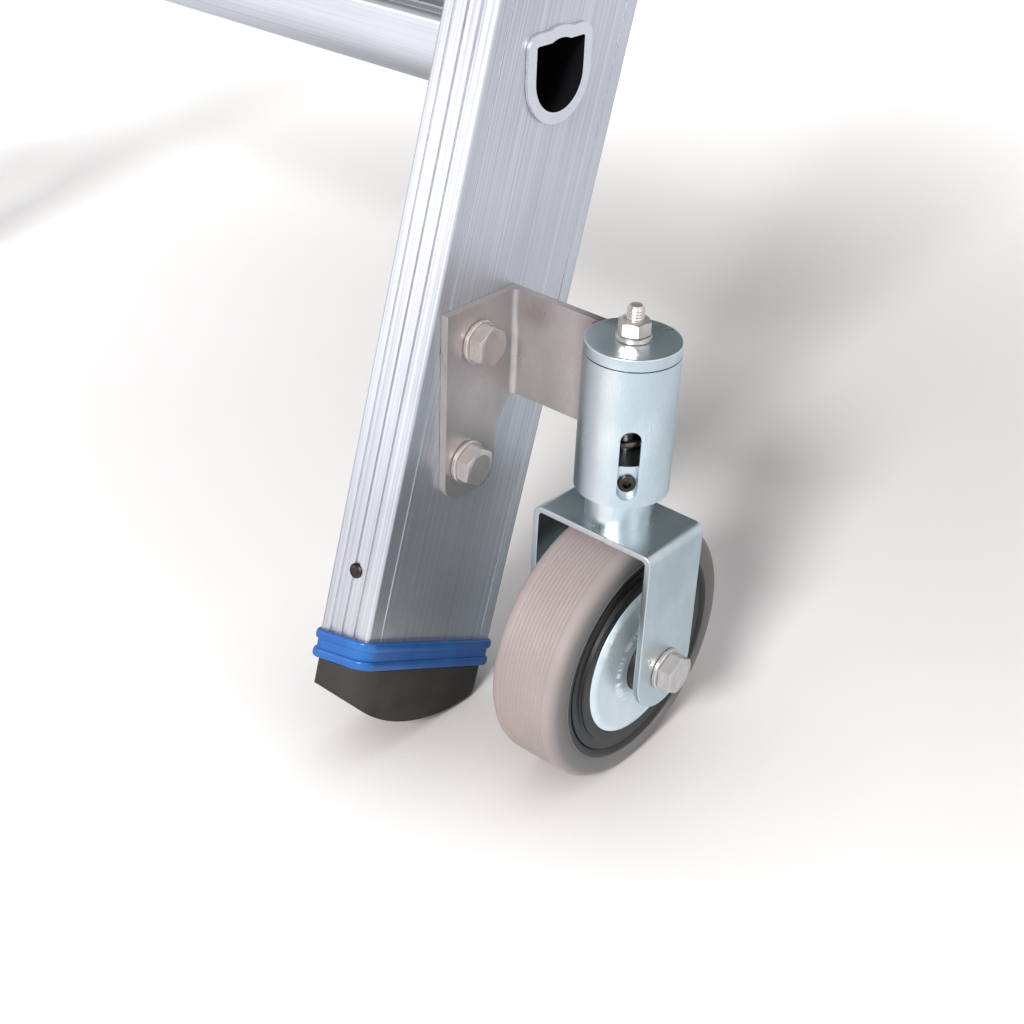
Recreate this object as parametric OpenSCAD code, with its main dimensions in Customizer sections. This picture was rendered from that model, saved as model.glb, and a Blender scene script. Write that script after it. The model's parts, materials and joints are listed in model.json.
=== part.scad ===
// Mobile step ladder: two aluminium rung frames hinged at the top, standing on four
// sprung castors that carry it until someone climbs it and its feet come down.
// X runs along the rungs, Y from the front frame to the rear one, Z up. The origin is
// on the floor, in the middle of the ladder. Lengths are in millimetres.

/* [Ladder] */
// Rungs in each frame
rung_count = 7; // [4:1:9]
// Height from one rung to the next
rung_pitch = 280; // [250:5:300]
// Height of the lowest rung's middle above the floor
first_rung_z = 240; // [225:5:280]
// Clear width between the two stiles
clear_width = 450; // [350:10:600]
// Lean of each frame from upright, in degrees
lean = 16; // [12:0.5:19]

/* [Stile] */
// Depth of the stile, seen from the side
stile_depth = 74; // [64:1:90]
// Width of the stile, seen from the front
stile_width = 23; // [20:1:30]
// Wall of the stile
stile_wall = 1.8; // [1.4:0.1:3]
// Outer corner radius of the stile
stile_corner = 1.5; // [0.5:0.1:2.5]
// Width of a groove along the flange
groove_w = 2.4; // [1:0.1:3]
// Depth of a groove along the flange
groove_deep = 0.6; // [0.3:0.1:0.9]
// Grooves along each flange
groove_count = 3; // [1:1:4]
// Distance of the groove along the side face from its edge
side_groove_in = 7; // [4:0.5:12]

/* [Rung] */
// Width of the rung's tread
rung_w = 28; // [24:1:34]
// Height of the rung
rung_h = 27; // [24:1:32]
// Wall of the rung
rung_wall = 1.7; // [1.2:0.1:2.5]
// Radius of the rung's upper edges
rung_edge_r = 2.5; // [1:0.5:4]
// Grip grooves along the tread
tread_grooves = 5; // [3:1:7]
// How far the flared rim of a rung reaches past its outline
flare_out = 2.4; // [1.5:0.1:4]
// Thickness of the flared rim
flare_t = 1.3; // [0.8:0.1:2]

/* [Foot] */
// Gap between the sole and the floor while the castors carry the ladder
foot_clear = 2; // [1:0.5:6]
// Height of the blue collar at the stile's middle line, along the stile
collar_top = 38; // [34:0.5:50]
// Height of the collar's band
collar_h = 11; // [9:0.5:14]
// How far the collar stands out from the stile
collar_out = 2.5; // [2:0.5:5]
// Slope of the collar from front to back, in degrees
collar_tilt = 11; // [0:1:13]
// Slope of the collar from its inner to its outer side, in degrees
collar_roll = 11; // [0:1:13]
// Corner radius of the collar
collar_corner = 6; // [3:0.5:8]
// Corner radius of the sole
sole_corner = 11; // [6:0.5:12]
// Radius of the curved sole
rocker_r = 75; // [55:5:120]
// Distance of the sole's lowest line from the stile's middle, towards the ladder's middle
rocker_in = 30; // [10:1:35]
// Length of the plug inside the stile
plug_len = 48; // [30:2:80]

/* [Castor] */
// Wheel diameter
wheel_d = 100; // [80:1:125]
// Width of the tyre
tyre_w = 29; // [22:1:36]
// Radius of the rim under the tyre
rim_r = 38; // [32:0.5:42]
// Radius of the steel hub disc
disc_r = 30; // [24:0.5:31]
// Outer width of the fork
fork_w = 51; // [44:1:62]
// Length of the fork's top, in the rolling direction
fork_len = 31; // [26:1:40]
// Sheet thickness of the fork
fork_t = 2.5; // [2:0.1:4]
// Outer radius of the fork's bends
fork_bend_r = 4; // [3:0.5:6]
// Gap between the tyre and the fork's top
tyre_gap = 1.5; // [1:0.5:6]
// Diameter of the axle bolt
axle_d = 8; // [6:1:10]
// Distance from the stile's side to the castor's axis
castor_reach = 56; // [48:1:75]
// Distance of the castor's axis from the stile's middle at the floor, towards the ladder's middle
castor_in = 45.5; // [30:0.5:70]

/* [Spring unit] */
// Outer diameter of the spring housing
housing_d = 33; // [30:0.5:40]
// Wall of the spring housing
housing_wall = 2.5; // [2:0.1:3.5]
// Length of the spring housing
housing_len = 50.5; // [46:0.5:70]
// Thickness of the housing's cap
cap_t = 4.5; // [3:0.5:8]
// Depth of the cap's spigot inside the housing
cap_spigot = 3; // [1.5:0.5:5]
// Travel of the castor from carrying the ladder to fully pressed
travel = 12; // [8:0.5:14]
// Diameter of the plunger's shaft
plunger_d = 24; // [18:0.5:26]
// Length of the plunger's head
head_len = 12; // [10:0.5:15]
// Diameter of the guide rod
rod_d = 6; // [5:1:8]
// Diameter of the guide screw
guide_d = 6; // [4:0.5:6]
// Width of the slot
slot_w = 7; // [6.5:0.5:9]
// Length of the slot
slot_len = 26; // [24:0.5:30]
// Slot's turn from the front, outwards, in degrees
slot_turn = 42; // [0:1:60]
// Wire diameter of the spring
wire_d = 2.4; // [1.5:0.1:2.6]
// Middle diameter of the spring's curls
spring_d = 18; // [14:0.5:20]
// Curls of the spring
spring_curls = 6; // [4:1:6]

/* [Bracket] */
// Sheet thickness of the bracket
bracket_t = 3; // [2.5:0.1:4]
// Height of the bracket's arm
arm_h = 40; // [30:1:46]
// Place of the bend past the castor's axis
arm_y = 2.5; // [-3:0.5:6]
// Width of the plate on the stile
plate_w = 34; // [28:1:38]
// Height of the plate on the stile
plate_h = 73; // [64:1:80]
// Width of the plate's tail
tail_w = 26; // [22:1:28]
// Diameter of the bracket bolts
bolt_d = 8; // [6:1:10]

/* [Hinge] */
// Height of the hinge pin above the highest rung's middle
hinge_above = 95; // [80:5:140]
// Gap between the hinge pin's line and each stile
hinge_gap = 21; // [19:1:30]
// Diameter of the hinge bolt
hinge_d = 10; // [8:1:12]
// Thickness of the hinge plates
hinge_t = 3; // [2.5:0.1:5]

/* [Stay] */
// Rung gap that the stay straps cross, counted from the floor
stay_gap = 2; // [2:1:3]
// Width of the webbing
strap_w = 25; // [20:1:40]
// Thickness of the webbing
strap_t = 1.8; // [1.2:0.1:2.5]

/* [Hidden] */

right = 1;
left = -1;
front = -1;
rear = 1;
// Play of a loose hole around its bolt, in radius
play = 0.2;
// Radial clearance of a running fit
run_fit = 0.05;
// Gap between flat faces that slide or only rest on each other
face_gap = 0.1;
// Extra depth that makes a cut pass its face
past = 1;

stile_x = clear_width / 2;
side_x = stile_x + stile_width;
hinge_z = first_rung_z + (rung_count - 1) * rung_pitch + hinge_above;
hinge_off = stile_depth / 2 + hinge_gap;
base_y = hinge_z * tan(lean) + hinge_off / cos(lean);
castor_x = side_x + castor_reach;
castor_y = base_y - castor_in;
// Place of the hinge pin along the stile
hinge_along = base_y * sin(lean) + hinge_z * cos(lean);

axle_z = wheel_d / 2;
fork_top = wheel_d + tyre_gap + fork_t;
housing_z = fork_top + travel + face_gap * 4;
housing_top = housing_z + housing_len;
unit_top = housing_top + cap_t;
bore_r = housing_d / 2 - housing_wall;
head_r = bore_r - run_fit;
// The guide screw sits in the plunger's head, in the lower half of the slot
guide_up = 8.4;
guide_z = housing_z + guide_up;
head_top = guide_z + guide_d / 2 + 3.2;
slot_z = housing_z + 3;
spring_top = housing_top - cap_spigot;
// Lower end of the guide rod, and how far the guide screw's end is from the axis
rod_low = fork_top + 6;
guide_in = rod_d / 2 + 3;
hub_r = 12;
sleeve_r = axle_d / 2 + 2;
// Washer thickness, and the across-flats width of a hexagon for a bolt of 1 mm
washer_t = 1.6;
flats_per_d = 1.625;
// Rivets: radius, head radius and head thickness
rivet_r = 3;
rivet_head_r = 5.5;
rivet_head_t = 1.8;
// Room kept between the highest rung and what sits in or on the stile above it
above_rung = 8;
// Inner radius of the bracket's bend
bend_r = 3;
// Plug that fits inside the stile, across and along its depth
plug_w = stile_width - 2 * stile_wall - 2 * play;
plug_d = stile_depth - 2 * stile_wall - 2 * play;
sole_top = collar_top - collar_h;
// Middle of the stile's end, which is cut along the collar's slope
stile_end = sole_top + 3;

// A point given across and along the front stile, as y and z
function on_stile(across, along) = [
    -base_y + across * cos(lean) + along * sin(lean),
    -across * sin(lean) + along * cos(lean)
];

function rung_z(i) = first_rung_z + i * rung_pitch;
function rung_y(i) = -base_y + rung_z(i) * tan(lean);

// Mirrors what is drawn for the front right corner to another corner
module to_corner(side, end) {
    mirror([side < 0 ? 1 : 0, 0, 0]) mirror([0, end > 0 ? 1 : 0, 0]) children();
}

module both_sides(end) {
    for (side = [right, left]) to_corner(side, end) children();
}

// Moves to a castor's axis on the floor: x outwards, y towards the ladder's middle
module at_castor(side, end) {
    to_corner(side, end) translate([castor_x, -castor_y, 0]) children();
}

// The same place without mirroring, for what is wound one way only
module at_castor_unturned(side, end) {
    translate([side * castor_x, end * castor_y, 0]) children();
}

// Draws across and along the front right stile, its middle line upwards
module in_stile() {
    translate([stile_x + stile_width / 2, -base_y, 0]) rotate([-lean, 0, 0]) children();
}

// Extrudes an outline drawn in y and z along x
module along_x(x, length) {
    translate([x, 0, 0]) rotate([90, 0, 90]) linear_extrude(length) children();
}

// A round bar along x
module x_rod(x, length, r) {
    translate([x, 0, 0]) rotate([0, 90, 0]) cylinder(h = length, r = r, $fn = 48);
}

module round_rect(w, d, r) {
    square([w - 2 * r, d], center = true);
    square([w, d - 2 * r], center = true);
    for (x = [-1, 1], y = [-1, 1]) {
        translate([x * (w / 2 - r), y * (d / 2 - r)]) circle(r, $fn = 24);
    }
}

// Hexagon head along x, from x outwards
module hex(x, h, d) {
    translate([x, 0, 0]) rotate([0, 90, 0])
        cylinder(h = h, d = d * flats_per_d / cos(30), $fn = 6);
}

module washer(x, d) {
    difference() {
        x_rod(x, washer_t, d);
        x_rod(x - past, washer_t + 2 * past, d / 2 + face_gap);
    }
}

// A bolt along x: head and washer beyond one face, washer and nut beyond the other
module bolt_set(nut_face, head_face, d) {
    head_x = head_face + washer_t + 2 * face_gap;
    nut_h = d * 0.8;
    nut_x = nut_face - washer_t - 2 * face_gap - nut_h;
    tip = nut_x - d * 0.25;
    x_rod(tip, head_x - tip, d / 2);
    hex(head_x, d * 0.66, d);
    washer(head_face + face_gap, d);
    washer(nut_face - washer_t - face_gap, d);
    difference() {
        hex(nut_x, nut_h, d);
        x_rod(nut_x - past, nut_h + 2 * past, d / 2 + face_gap);
    }
}

// Stile: an extruded box section with grooves along its flanges and sides

module stile_section() {
    inner_w = stile_width - 2 * stile_wall;
    inner_d = stile_depth - 2 * stile_wall;
    step = stile_width / (groove_count + 1);
    difference() {
        round_rect(stile_width, stile_depth, stile_corner);
        square([inner_w, inner_d], center = true);
        for (i = [1 : groove_count], s = [-1, 1]) {
            translate([-stile_width / 2 + i * step, s * stile_depth / 2])
                square([groove_w, 2 * groove_deep], center = true);
        }
        for (x = [-1, 1], s = [-1, 1]) {
            translate([x * stile_width / 2, s * (stile_depth / 2 - side_groove_in)])
                square([groove_deep, groove_w / 2], center = true);
        }
    }
}

module stile(stile_top) {
    color("silver") difference() {
        in_stile() difference() {
            linear_extrude(stile_top) stile_section();
            below_foot(stile_end);
        }
        for (i = [0 : rung_count - 1]) {
            translate([0, rung_y(i), rung_z(i)])
                along_x(stile_x - past, stile_width + 2 * past) rung_outline(face_gap);
        }
        bracket_holes(side_x - stile_width - past, stile_width + 2 * past);
        hinge_rivet_holes(stile_top);
        foot_rivet_hole();
        stay_hole();
    }
}

// Rung: a tube with a flat grooved tread and a round underside

module rung_outline(grow) {
    r = rung_w / 2 + grow;
    top = rung_h / 2 + grow;
    low = -rung_h / 2 - grow + r;
    edge = max(rung_edge_r + grow, 0.5);
    translate([0, low]) circle(r, $fn = 64);
    translate([-r, low]) square([2 * r, top - low - edge]);
    translate([-r + edge, low]) square([2 * (r - edge), top - low]);
    for (s = [-1, 1]) translate([s * (r - edge), top - edge]) circle(edge, $fn = 24);
}

module rung() {
    tread = rung_w - 2 * rung_edge_r - 2;
    step = tread / (tread_grooves - 1);
    end_x = side_x + flare_t + face_gap;
    difference() {
        union() {
            along_x(-end_x, 2 * end_x) rung_outline(0);
            for (s = [right, left]) {
                flare_x = s * (side_x + face_gap) - (s < 0 ? flare_t : 0);
                bead_x = s * (stile_x - face_gap) - (s > 0 ? 2 * flare_t : 0);
                along_x(flare_x, flare_t) rung_outline(flare_out);
                along_x(bead_x, 2 * flare_t) rung_outline(flare_out * 0.7);
            }
        }
        along_x(-end_x - past, 2 * (end_x + past)) rung_outline(-rung_wall);
        for (i = [0 : tread_grooves - 1]) {
            translate([0, -tread / 2 + i * step, rung_h / 2])
                cube([2 * stile_x - 8 * flare_t, 1.6, 1.6], center = true);
        }
    }
}

module rungs(end) {
    color("gainsboro") to_corner(right, end)
        for (i = [0 : rung_count - 1]) translate([0, rung_y(i), rung_z(i)]) rung();
}

// Foot: a blue collar with a plug in the stile, and a black curved sole

// All that lies below the collar's slope, which passes through the stile's middle at this height
module below_foot(at) {
    translate([0, 0, at]) rotate([-collar_tilt, -collar_roll, 0])
        translate([0, 0, -stile_depth]) cube([3 * stile_depth, 3 * stile_depth, 2 * stile_depth], center = true);
}

module collar_slab(from, to, out) {
    intersection() {
        difference() {
            linear_extrude(2 * stile_depth)
                round_rect(stile_width + 2 * out, stile_depth + 2 * out, collar_corner);
            below_foot(from);
        }
        below_foot(to);
    }
}

module foot_collar() {
    third = collar_h / 3;
    groove = 0.8;
    color("royalblue") difference() {
        in_stile() difference() {
            union() {
                for (i = [0 : 2]) {
                    collar_slab(sole_top + i * third, sole_top + (i + 1) * third + past / 10,
                        i == 1 ? collar_out - groove : collar_out);
                }
                difference() {
                    linear_extrude(stile_end + plug_len) square([plug_w, plug_d], center = true);
                    below_foot(sole_top + past);
                }
            }
            difference() {
                linear_extrude(stile_end + 2 * plug_len) difference() {
                    square([stile_width + 2 * face_gap, stile_depth + 2 * face_gap], center = true);
                    square([plug_w, plug_d], center = true);
                }
                below_foot(stile_end - face_gap);
            }
        }
        foot_rivet_hole();
    }
}

module foot_sole() {
    w = stile_width + 2 * collar_out - 1;
    d = stile_depth + 2 * collar_out - 1;
    color("#1a1a1a") intersection() {
        in_stile() intersection() {
            translate([0, 0, -stile_depth]) linear_extrude(2 * stile_depth) round_rect(w, d, sole_corner);
            below_foot(sole_top - face_gap);
        }
        translate([0, -base_y + rocker_in, foot_clear + rocker_r])
            rotate([0, 90, 0]) cylinder(h = 2 * side_x, r = rocker_r, $fn = 96);
    }
}

// Rivets in the stile: a small one at the foot, three at the hinge, one at the stay

foot_rivet_up = 41;
foot_rivet_r = 2;
foot_rivet_len = 12;
foot_rivet_head = 0.8;

function foot_rivet_at() = on_stile(0, stile_end + foot_rivet_up);
function stay_at() = let (z = rung_z(stay_gap - 1) + rung_pitch / 2)
    [-base_y + z * tan(lean), z];

// The foot's rivet goes through the front flange, from front to back
module foot_rivet_hole() {
    in_stile() translate([0, -stile_depth / 2 - past, stile_end + foot_rivet_up])
        rotate([-90, 0, 0]) cylinder(h = foot_rivet_len + 2 * past, r = foot_rivet_r, $fn = 32);
}

module foot_rivet() {
    in_stile() translate([0, -stile_depth / 2, stile_end + foot_rivet_up]) rotate([90, 0, 0]) {
        translate([0, 0, -foot_rivet_len])
            cylinder(h = foot_rivet_len + face_gap, r = foot_rivet_r - face_gap, $fn = 32);
        translate([0, 0, face_gap])
            cylinder(h = foot_rivet_head, r = foot_rivet_r + foot_rivet_head, $fn = 32);
    }
}

// Three rivets up the stile between the highest rung and the stile's top
module hinge_rivet_places(top) {
    low = plug_low + 2 * rivet_head_r;
    step = (top - low - 2 * rivet_head_r - 4) / 2;
    for (i = [0, 1, 2]) {
        place = on_stile(0, low + i * step);
        translate([0, place[0], place[1]]) children();
    }
}

module hinge_rivet_holes(top) {
    hinge_rivet_places(top) x_rod(stile_x - 3 * past, stile_width + 6 * past, rivet_r);
}

module x_rivet(from, length) {
    x_rod(from, length, rivet_r - face_gap);
    x_rod(from - rivet_head_t, rivet_head_t, rivet_head_r);
    x_rod(from + length, rivet_head_t, rivet_head_r);
}

module stay_hole() {
    translate([0, stay_at()[0], stay_at()[1]]) x_rod(stile_x - past, stile_wall + 2 * past, rivet_r);
}

module stay_rivet() {
    from = stile_x - strap_t - 2 * face_gap;
    translate([0, stay_at()[0], stay_at()[1]]) {
        x_rod(from, strap_t + stile_wall + 3 * face_gap, rivet_r - face_gap);
        x_rod(from - rivet_head_t, rivet_head_t, rivet_head_r + 3);
        x_rod(from + strap_t + stile_wall + 3 * face_gap, rivet_head_t, rivet_head_r - 1);
    }
}

module frame_rivets(end) {
    top = end == front ? front_top : rear_top;
    plate = end == front ? hinge_t + face_gap : 0;
    color("lightgray") both_sides(end) {
        foot_rivet();
        stay_rivet();
        hinge_rivet_places(top) x_rivet(stile_x - plate - face_gap, stile_width + 2 * plate + 2 * face_gap);
    }
}

// Hinge: plates on both faces of the front stile hold the bolt; a lug in the rear
// stile's top turns on it

front_top = hinge_along + hinge_gap * 0.9;
// The lowest place along the stile that plates and plugs above the highest rung reach
plug_low = rung_z(rung_count - 1) / cos(lean) + rung_h / 2 + flare_out + above_rung;
eye_r = hinge_gap - 3;
rear_top = hinge_along - eye_r - 4;

// Plate outline in y and z: a bar on the stile and an ear out to the hinge bolt
module hinge_plate_outline() {
    half = stile_depth / 2 - side_groove_in;
    polygon([
        on_stile(-half, plug_low),
        on_stile(half, plug_low),
        on_stile(half, hinge_along - 2 * eye_r),
        [-eye_r * 0.5, hinge_z - eye_r * 0.85],
        [0, hinge_z],
        [-eye_r * 0.3, hinge_z + eye_r * 0.95],
        on_stile(half, front_top - 1),
        on_stile(-half, front_top - 1)
    ]);
    translate([0, hinge_z]) circle(eye_r, $fn = 64);
}

module hinge_plate(x) {
    difference() {
        along_x(x, hinge_t) hinge_plate_outline();
        translate([0, 0, hinge_z]) x_rod(x - past, hinge_t + 2 * past, hinge_d / 2 + run_fit);
        hinge_rivet_places(front_top) x_rod(x - past, hinge_t + 2 * past, rivet_r);
    }
}

module hinge_plates() {
    color("lightsteelblue") both_sides(front) {
        hinge_plate(side_x + face_gap);
        hinge_plate(stile_x - hinge_t - face_gap);
    }
}

// Cast lug drawn on the front side and mirrored to the rear stile
module hinge_lug() {
    lug_w = stile_width - 0.6;
    half = stile_depth / 2;
    cap_up = rear_top + eye_r * 0.8;
    color("darkgray") difference() {
        union() {
            along_x(stile_x + 0.3, lug_w) {
                polygon([
                    on_stile(-half, rear_top + face_gap),
                    on_stile(half, rear_top + face_gap),
                    [-eye_r * 0.35, hinge_z - eye_r * 0.92],
                    [0, hinge_z],
                    [-eye_r * 0.2, hinge_z + eye_r * 0.97],
                    on_stile(half * 0.4, cap_up + 6),
                    on_stile(-half, cap_up)
                ]);
                translate([0, hinge_z]) circle(eye_r, $fn = 64);
            }
            in_stile() translate([0, 0, plug_low])
                linear_extrude(rear_top - plug_low + 2 * face_gap) square([plug_w, plug_d], center = true);
        }
        translate([0, 0, hinge_z]) x_rod(stile_x - past, stile_width + 2 * past, hinge_d / 2 + run_fit);
        hinge_rivet_holes(rear_top);
    }
}

module hinge_lugs() {
    both_sides(rear) hinge_lug();
}

module hinge_bolts() {
    color("lightsteelblue") both_sides(front) translate([0, 0, hinge_z])
        bolt_set(stile_x - hinge_t - face_gap, side_x + hinge_t + face_gap, hinge_d);
}

top_cap_t = 4;
top_cap_plug = 12;

module top_caps() {
    color("#202020") both_sides(front) in_stile() translate([0, 0, front_top]) {
        translate([0, 0, face_gap]) linear_extrude(top_cap_t)
            round_rect(stile_width, stile_depth, stile_corner);
        translate([0, 0, -top_cap_plug]) linear_extrude(top_cap_plug + 2 * face_gap)
            square([plug_w, plug_d], center = true);
    }
}

// Stay: webbing that stops the frames spreading, riveted to the stiles' inner faces

module stay_strap(side) {
    reach = -stay_at()[0] + strap_w * 0.6;
    color("#303030") to_corner(side, front) difference() {
        translate([stile_x - strap_t - face_gap, -reach, stay_at()[1] - strap_w / 2])
            cube([strap_t, 2 * reach, strap_w]);
        for (s = [-1, 1]) translate([0, s * stay_at()[0], stay_at()[1]])
            x_rod(stile_x - strap_t - past, strap_t + 2 * past, rivet_r);
    }
}

// Castor bracket: folded sheet bolted to the stile's side, its arm out to the housing

upper_bolt_y = -16;
upper_bolt_down = 14;
bolt_slant = -5;
bolt_apart = 45;
plate_y = arm_y - plate_w;

function bolt_places() = [
    [upper_bolt_y, unit_top - upper_bolt_down],
    [upper_bolt_y + bolt_slant, unit_top - upper_bolt_down - bolt_apart]
];

module bracket_holes(x, length) {
    for (place = bolt_places()) {
        translate([0, -castor_y + place[0], place[1]]) x_rod(x, length, bolt_d / 2 + play);
    }
}

// Plate outline in y and z, full width beside the arm and narrower below it
module bracket_plate_outline() {
    low = unit_top - plate_h;
    r = 8;
    tail_y = plate_y + tail_w;
    translate([plate_y, unit_top - arm_h]) square([plate_w, arm_h]);
    translate([plate_y, low + r]) square([tail_w, plate_h - r]);
    translate([plate_y + r, low]) square([tail_w - 2 * r, r + 1]);
    for (y = [plate_y + r, tail_y - r]) translate([y, low + r]) circle(r, $fn = 32);
    polygon([
        [tail_y - 1, unit_top - arm_h - 12],
        [tail_y - 1, unit_top - arm_h + 1],
        [arm_y, unit_top - arm_h + 1],
        [arm_y, unit_top - arm_h]
    ]);
}

module castor_bracket(side, end) {
    x = -castor_reach + face_gap;
    color("rosybrown") difference() {
        at_castor(side, end) difference() {
            union() {
                along_x(x, bracket_t) bracket_plate_outline();
                translate([x, arm_y, unit_top - arm_h])
                    cube([castor_reach, bracket_t, arm_h]);
                translate([x, arm_y - bend_r, unit_top - arm_h]) difference() {
                    cube([bracket_t + bend_r, bend_r + bracket_t, arm_h]);
                    translate([bracket_t + bend_r, 0, -past])
                        cylinder(h = arm_h + 2 * past, r = bend_r, $fn = 48);
                }
            }
            translate([0, 0, unit_top - arm_h - past])
                cylinder(h = arm_h + 2 * past, r = housing_d / 2, $fn = 96);
        }
        to_corner(side, end) bracket_holes(side_x - past, bracket_t + 2 * past);
    }
}

module bracket_bolts(end) {
    color("lightsteelblue") both_sides(end) for (place = bolt_places()) {
        translate([0, -castor_y + place[0], place[1]])
            bolt_set(stile_x, side_x + face_gap + bracket_t, bolt_d);
    }
}

// Spring unit: the housing on the bracket, its cap, and the plunger that slides in it

module spring_housing() {
    lift = (slot_len - slot_w) / 2;
    color("lightblue") difference() {
        translate([0, 0, housing_z]) cylinder(h = housing_len - face_gap, d = housing_d, $fn = 96);
        translate([0, 0, housing_z - past]) cylinder(h = housing_len + 2 * past, r = bore_r, $fn = 96);
        rotate([0, 0, slot_turn]) translate([0, -housing_d / 2, slot_z + slot_len / 2]) {
            cube([slot_w, housing_d, 2 * lift], center = true);
            for (s = [-1, 1]) translate([0, 0, s * lift]) rotate([90, 0, 0])
                cylinder(h = housing_d, d = slot_w, center = true, $fn = 48);
        }
    }
}

module housing_cap() {
    color("darkslategray") difference() {
        union() {
            translate([0, 0, housing_top]) cylinder(h = cap_t, d = housing_d, $fn = 96);
            translate([0, 0, spring_top]) cylinder(h = cap_spigot + 1, r = head_r, $fn = 96);
        }
        translate([0, 0, spring_top - past])
            cylinder(h = cap_t + cap_spigot + 2 * past, r = rod_d / 2 + play, $fn = 48);
    }
}

module housing_caps(end) {
    for (side = [right, left]) at_castor(side, end) housing_cap();
}

module plunger() {
    color("lightblue") difference() {
        union() {
            translate([0, 0, fork_top]) cylinder(h = head_top - fork_top - 1, d = plunger_d, $fn = 96);
            translate([0, 0, head_top - head_len]) cylinder(h = head_len, r = head_r, $fn = 96);
        }
        translate([0, 0, rod_low]) cylinder(h = housing_len, r = rod_d / 2 + face_gap, $fn = 48);
        rotate([0, 0, slot_turn]) translate([0, face_gap - guide_in, guide_z]) rotate([90, 0, 0])
            cylinder(h = housing_d, r = guide_d / 2 + face_gap, $fn = 32);
    }
}

// Spring: one unbroken helix, eight rings of six sides a curl

ring_steps = 8;
ring_sides = 6;
wire_r = wire_d / 2;
spring_low = head_top + wire_r + face_gap;
spring_rise = spring_top - wire_r - face_gap - spring_low;
spring_rings = spring_curls * ring_steps;
// The wire's slope up the curl, in degrees
wire_slope = atan(spring_rise / spring_curls / (PI * spring_d));

function curl_point(ring, side) = let (
    turn = ring * 360 / ring_steps,
    around = side * 360 / ring_sides,
    out = spring_d / 2 + wire_r * cos(around),
    up = wire_r * sin(around)
) [
    out * cos(turn) + up * sin(wire_slope) * sin(turn),
    out * sin(turn) - up * sin(wire_slope) * cos(turn),
    spring_low + spring_rise * ring / spring_rings + up * cos(wire_slope)
];

spring_points = [for (ring = [0 : spring_rings], side = [0 : ring_sides - 1]) curl_point(ring, side)];

function at_ring(ring, side) = ring * ring_sides + side % ring_sides;

spring_faces = concat(
    [for (side = [1 : ring_sides - 2]) [0, side, side + 1]],
    [for (side = [1 : ring_sides - 2])
        [at_ring(spring_rings, 0), at_ring(spring_rings, side + 1), at_ring(spring_rings, side)]],
    [for (ring = [0 : spring_rings - 1], side = [0 : ring_sides - 1])
        [at_ring(ring, side), at_ring(ring + 1, side), at_ring(ring + 1, side + 1)]],
    [for (ring = [0 : spring_rings - 1], side = [0 : ring_sides - 1])
        [at_ring(ring, side), at_ring(ring + 1, side + 1), at_ring(ring, side + 1)]]
);

// Least gap between the wire and the same wire one curl further on, measured on points
spring_gap = min([for (ring = [0 : spring_rings - ring_steps], a = [0 : ring_sides - 1],
    step = [-1, 0, 1], b = [0 : ring_sides - 1])
    let (next = ring + ring_steps + step)
    next > spring_rings ? spring_rise : norm(curl_point(next, b) - curl_point(ring, a))]);
echo(spring_gap = spring_gap);

module castor_spring() {
    color("dimgray") polyhedron(points = spring_points, faces = spring_faces);
}

// Fork: sheet bent over the wheel, its round-ended legs carrying the axle

module fork_section() {
    half = fork_w / 2;
    inner_r = fork_bend_r - fork_t;
    leg = wheel_d;
    difference() {
        union() {
            translate([-half, fork_top - fork_bend_r - leg]) square([fork_w, leg]);
            translate([-half + fork_bend_r, fork_top - leg]) square([fork_w - 2 * fork_bend_r, leg]);
            for (s = [-1, 1]) translate([s * (half - fork_bend_r), fork_top - fork_bend_r])
                circle(fork_bend_r, $fn = 48);
        }
        translate([-half + fork_t, fork_top - fork_bend_r - leg - past])
            square([fork_w - 2 * fork_t, leg + past]);
        translate([-half + fork_bend_r, fork_top - fork_t - leg])
            square([fork_w - 2 * fork_bend_r, leg]);
        for (s = [-1, 1]) translate([s * (half - fork_bend_r), fork_top - fork_bend_r])
            circle(inner_r, $fn = 48);
    }
}

module wheel_fork() {
    color("lightsteelblue") difference() {
        intersection() {
            rotate([90, 0, 0]) linear_extrude(fork_len, center = true) fork_section();
            along_x(-fork_w, 2 * fork_w) {
                translate([-fork_len / 2, axle_z]) square([fork_len, fork_top]);
                translate([0, axle_z]) circle(fork_len / 2, $fn = 96);
            }
        }
        translate([0, 0, axle_z]) x_rod(-fork_w, 2 * fork_w, axle_d / 2 + play);
    }
}

// Fasteners of one castor: axle bolt with its sleeve, nut and washers, guide rod with
// its nut and washer, guide screw

module castor_fasteners() {
    sleeve_half = fork_w / 2 - fork_t - face_gap;
    color("lightsteelblue") {
        translate([0, 0, axle_z]) {
            bolt_set(-fork_w / 2, fork_w / 2, axle_d);
            difference() {
                x_rod(-sleeve_half, 2 * sleeve_half, sleeve_r);
                x_rod(-sleeve_half - past, 2 * (sleeve_half + past), axle_d / 2 + face_gap);
            }
        }
        guide_rod();
        rotate([0, 0, slot_turn]) translate([0, -guide_in, guide_z]) rotate([90, 0, 0])
            cylinder(h = housing_d / 2 - guide_in - housing_wall / 2, r = guide_d / 2, $fn = 32);
    }
}

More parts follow.
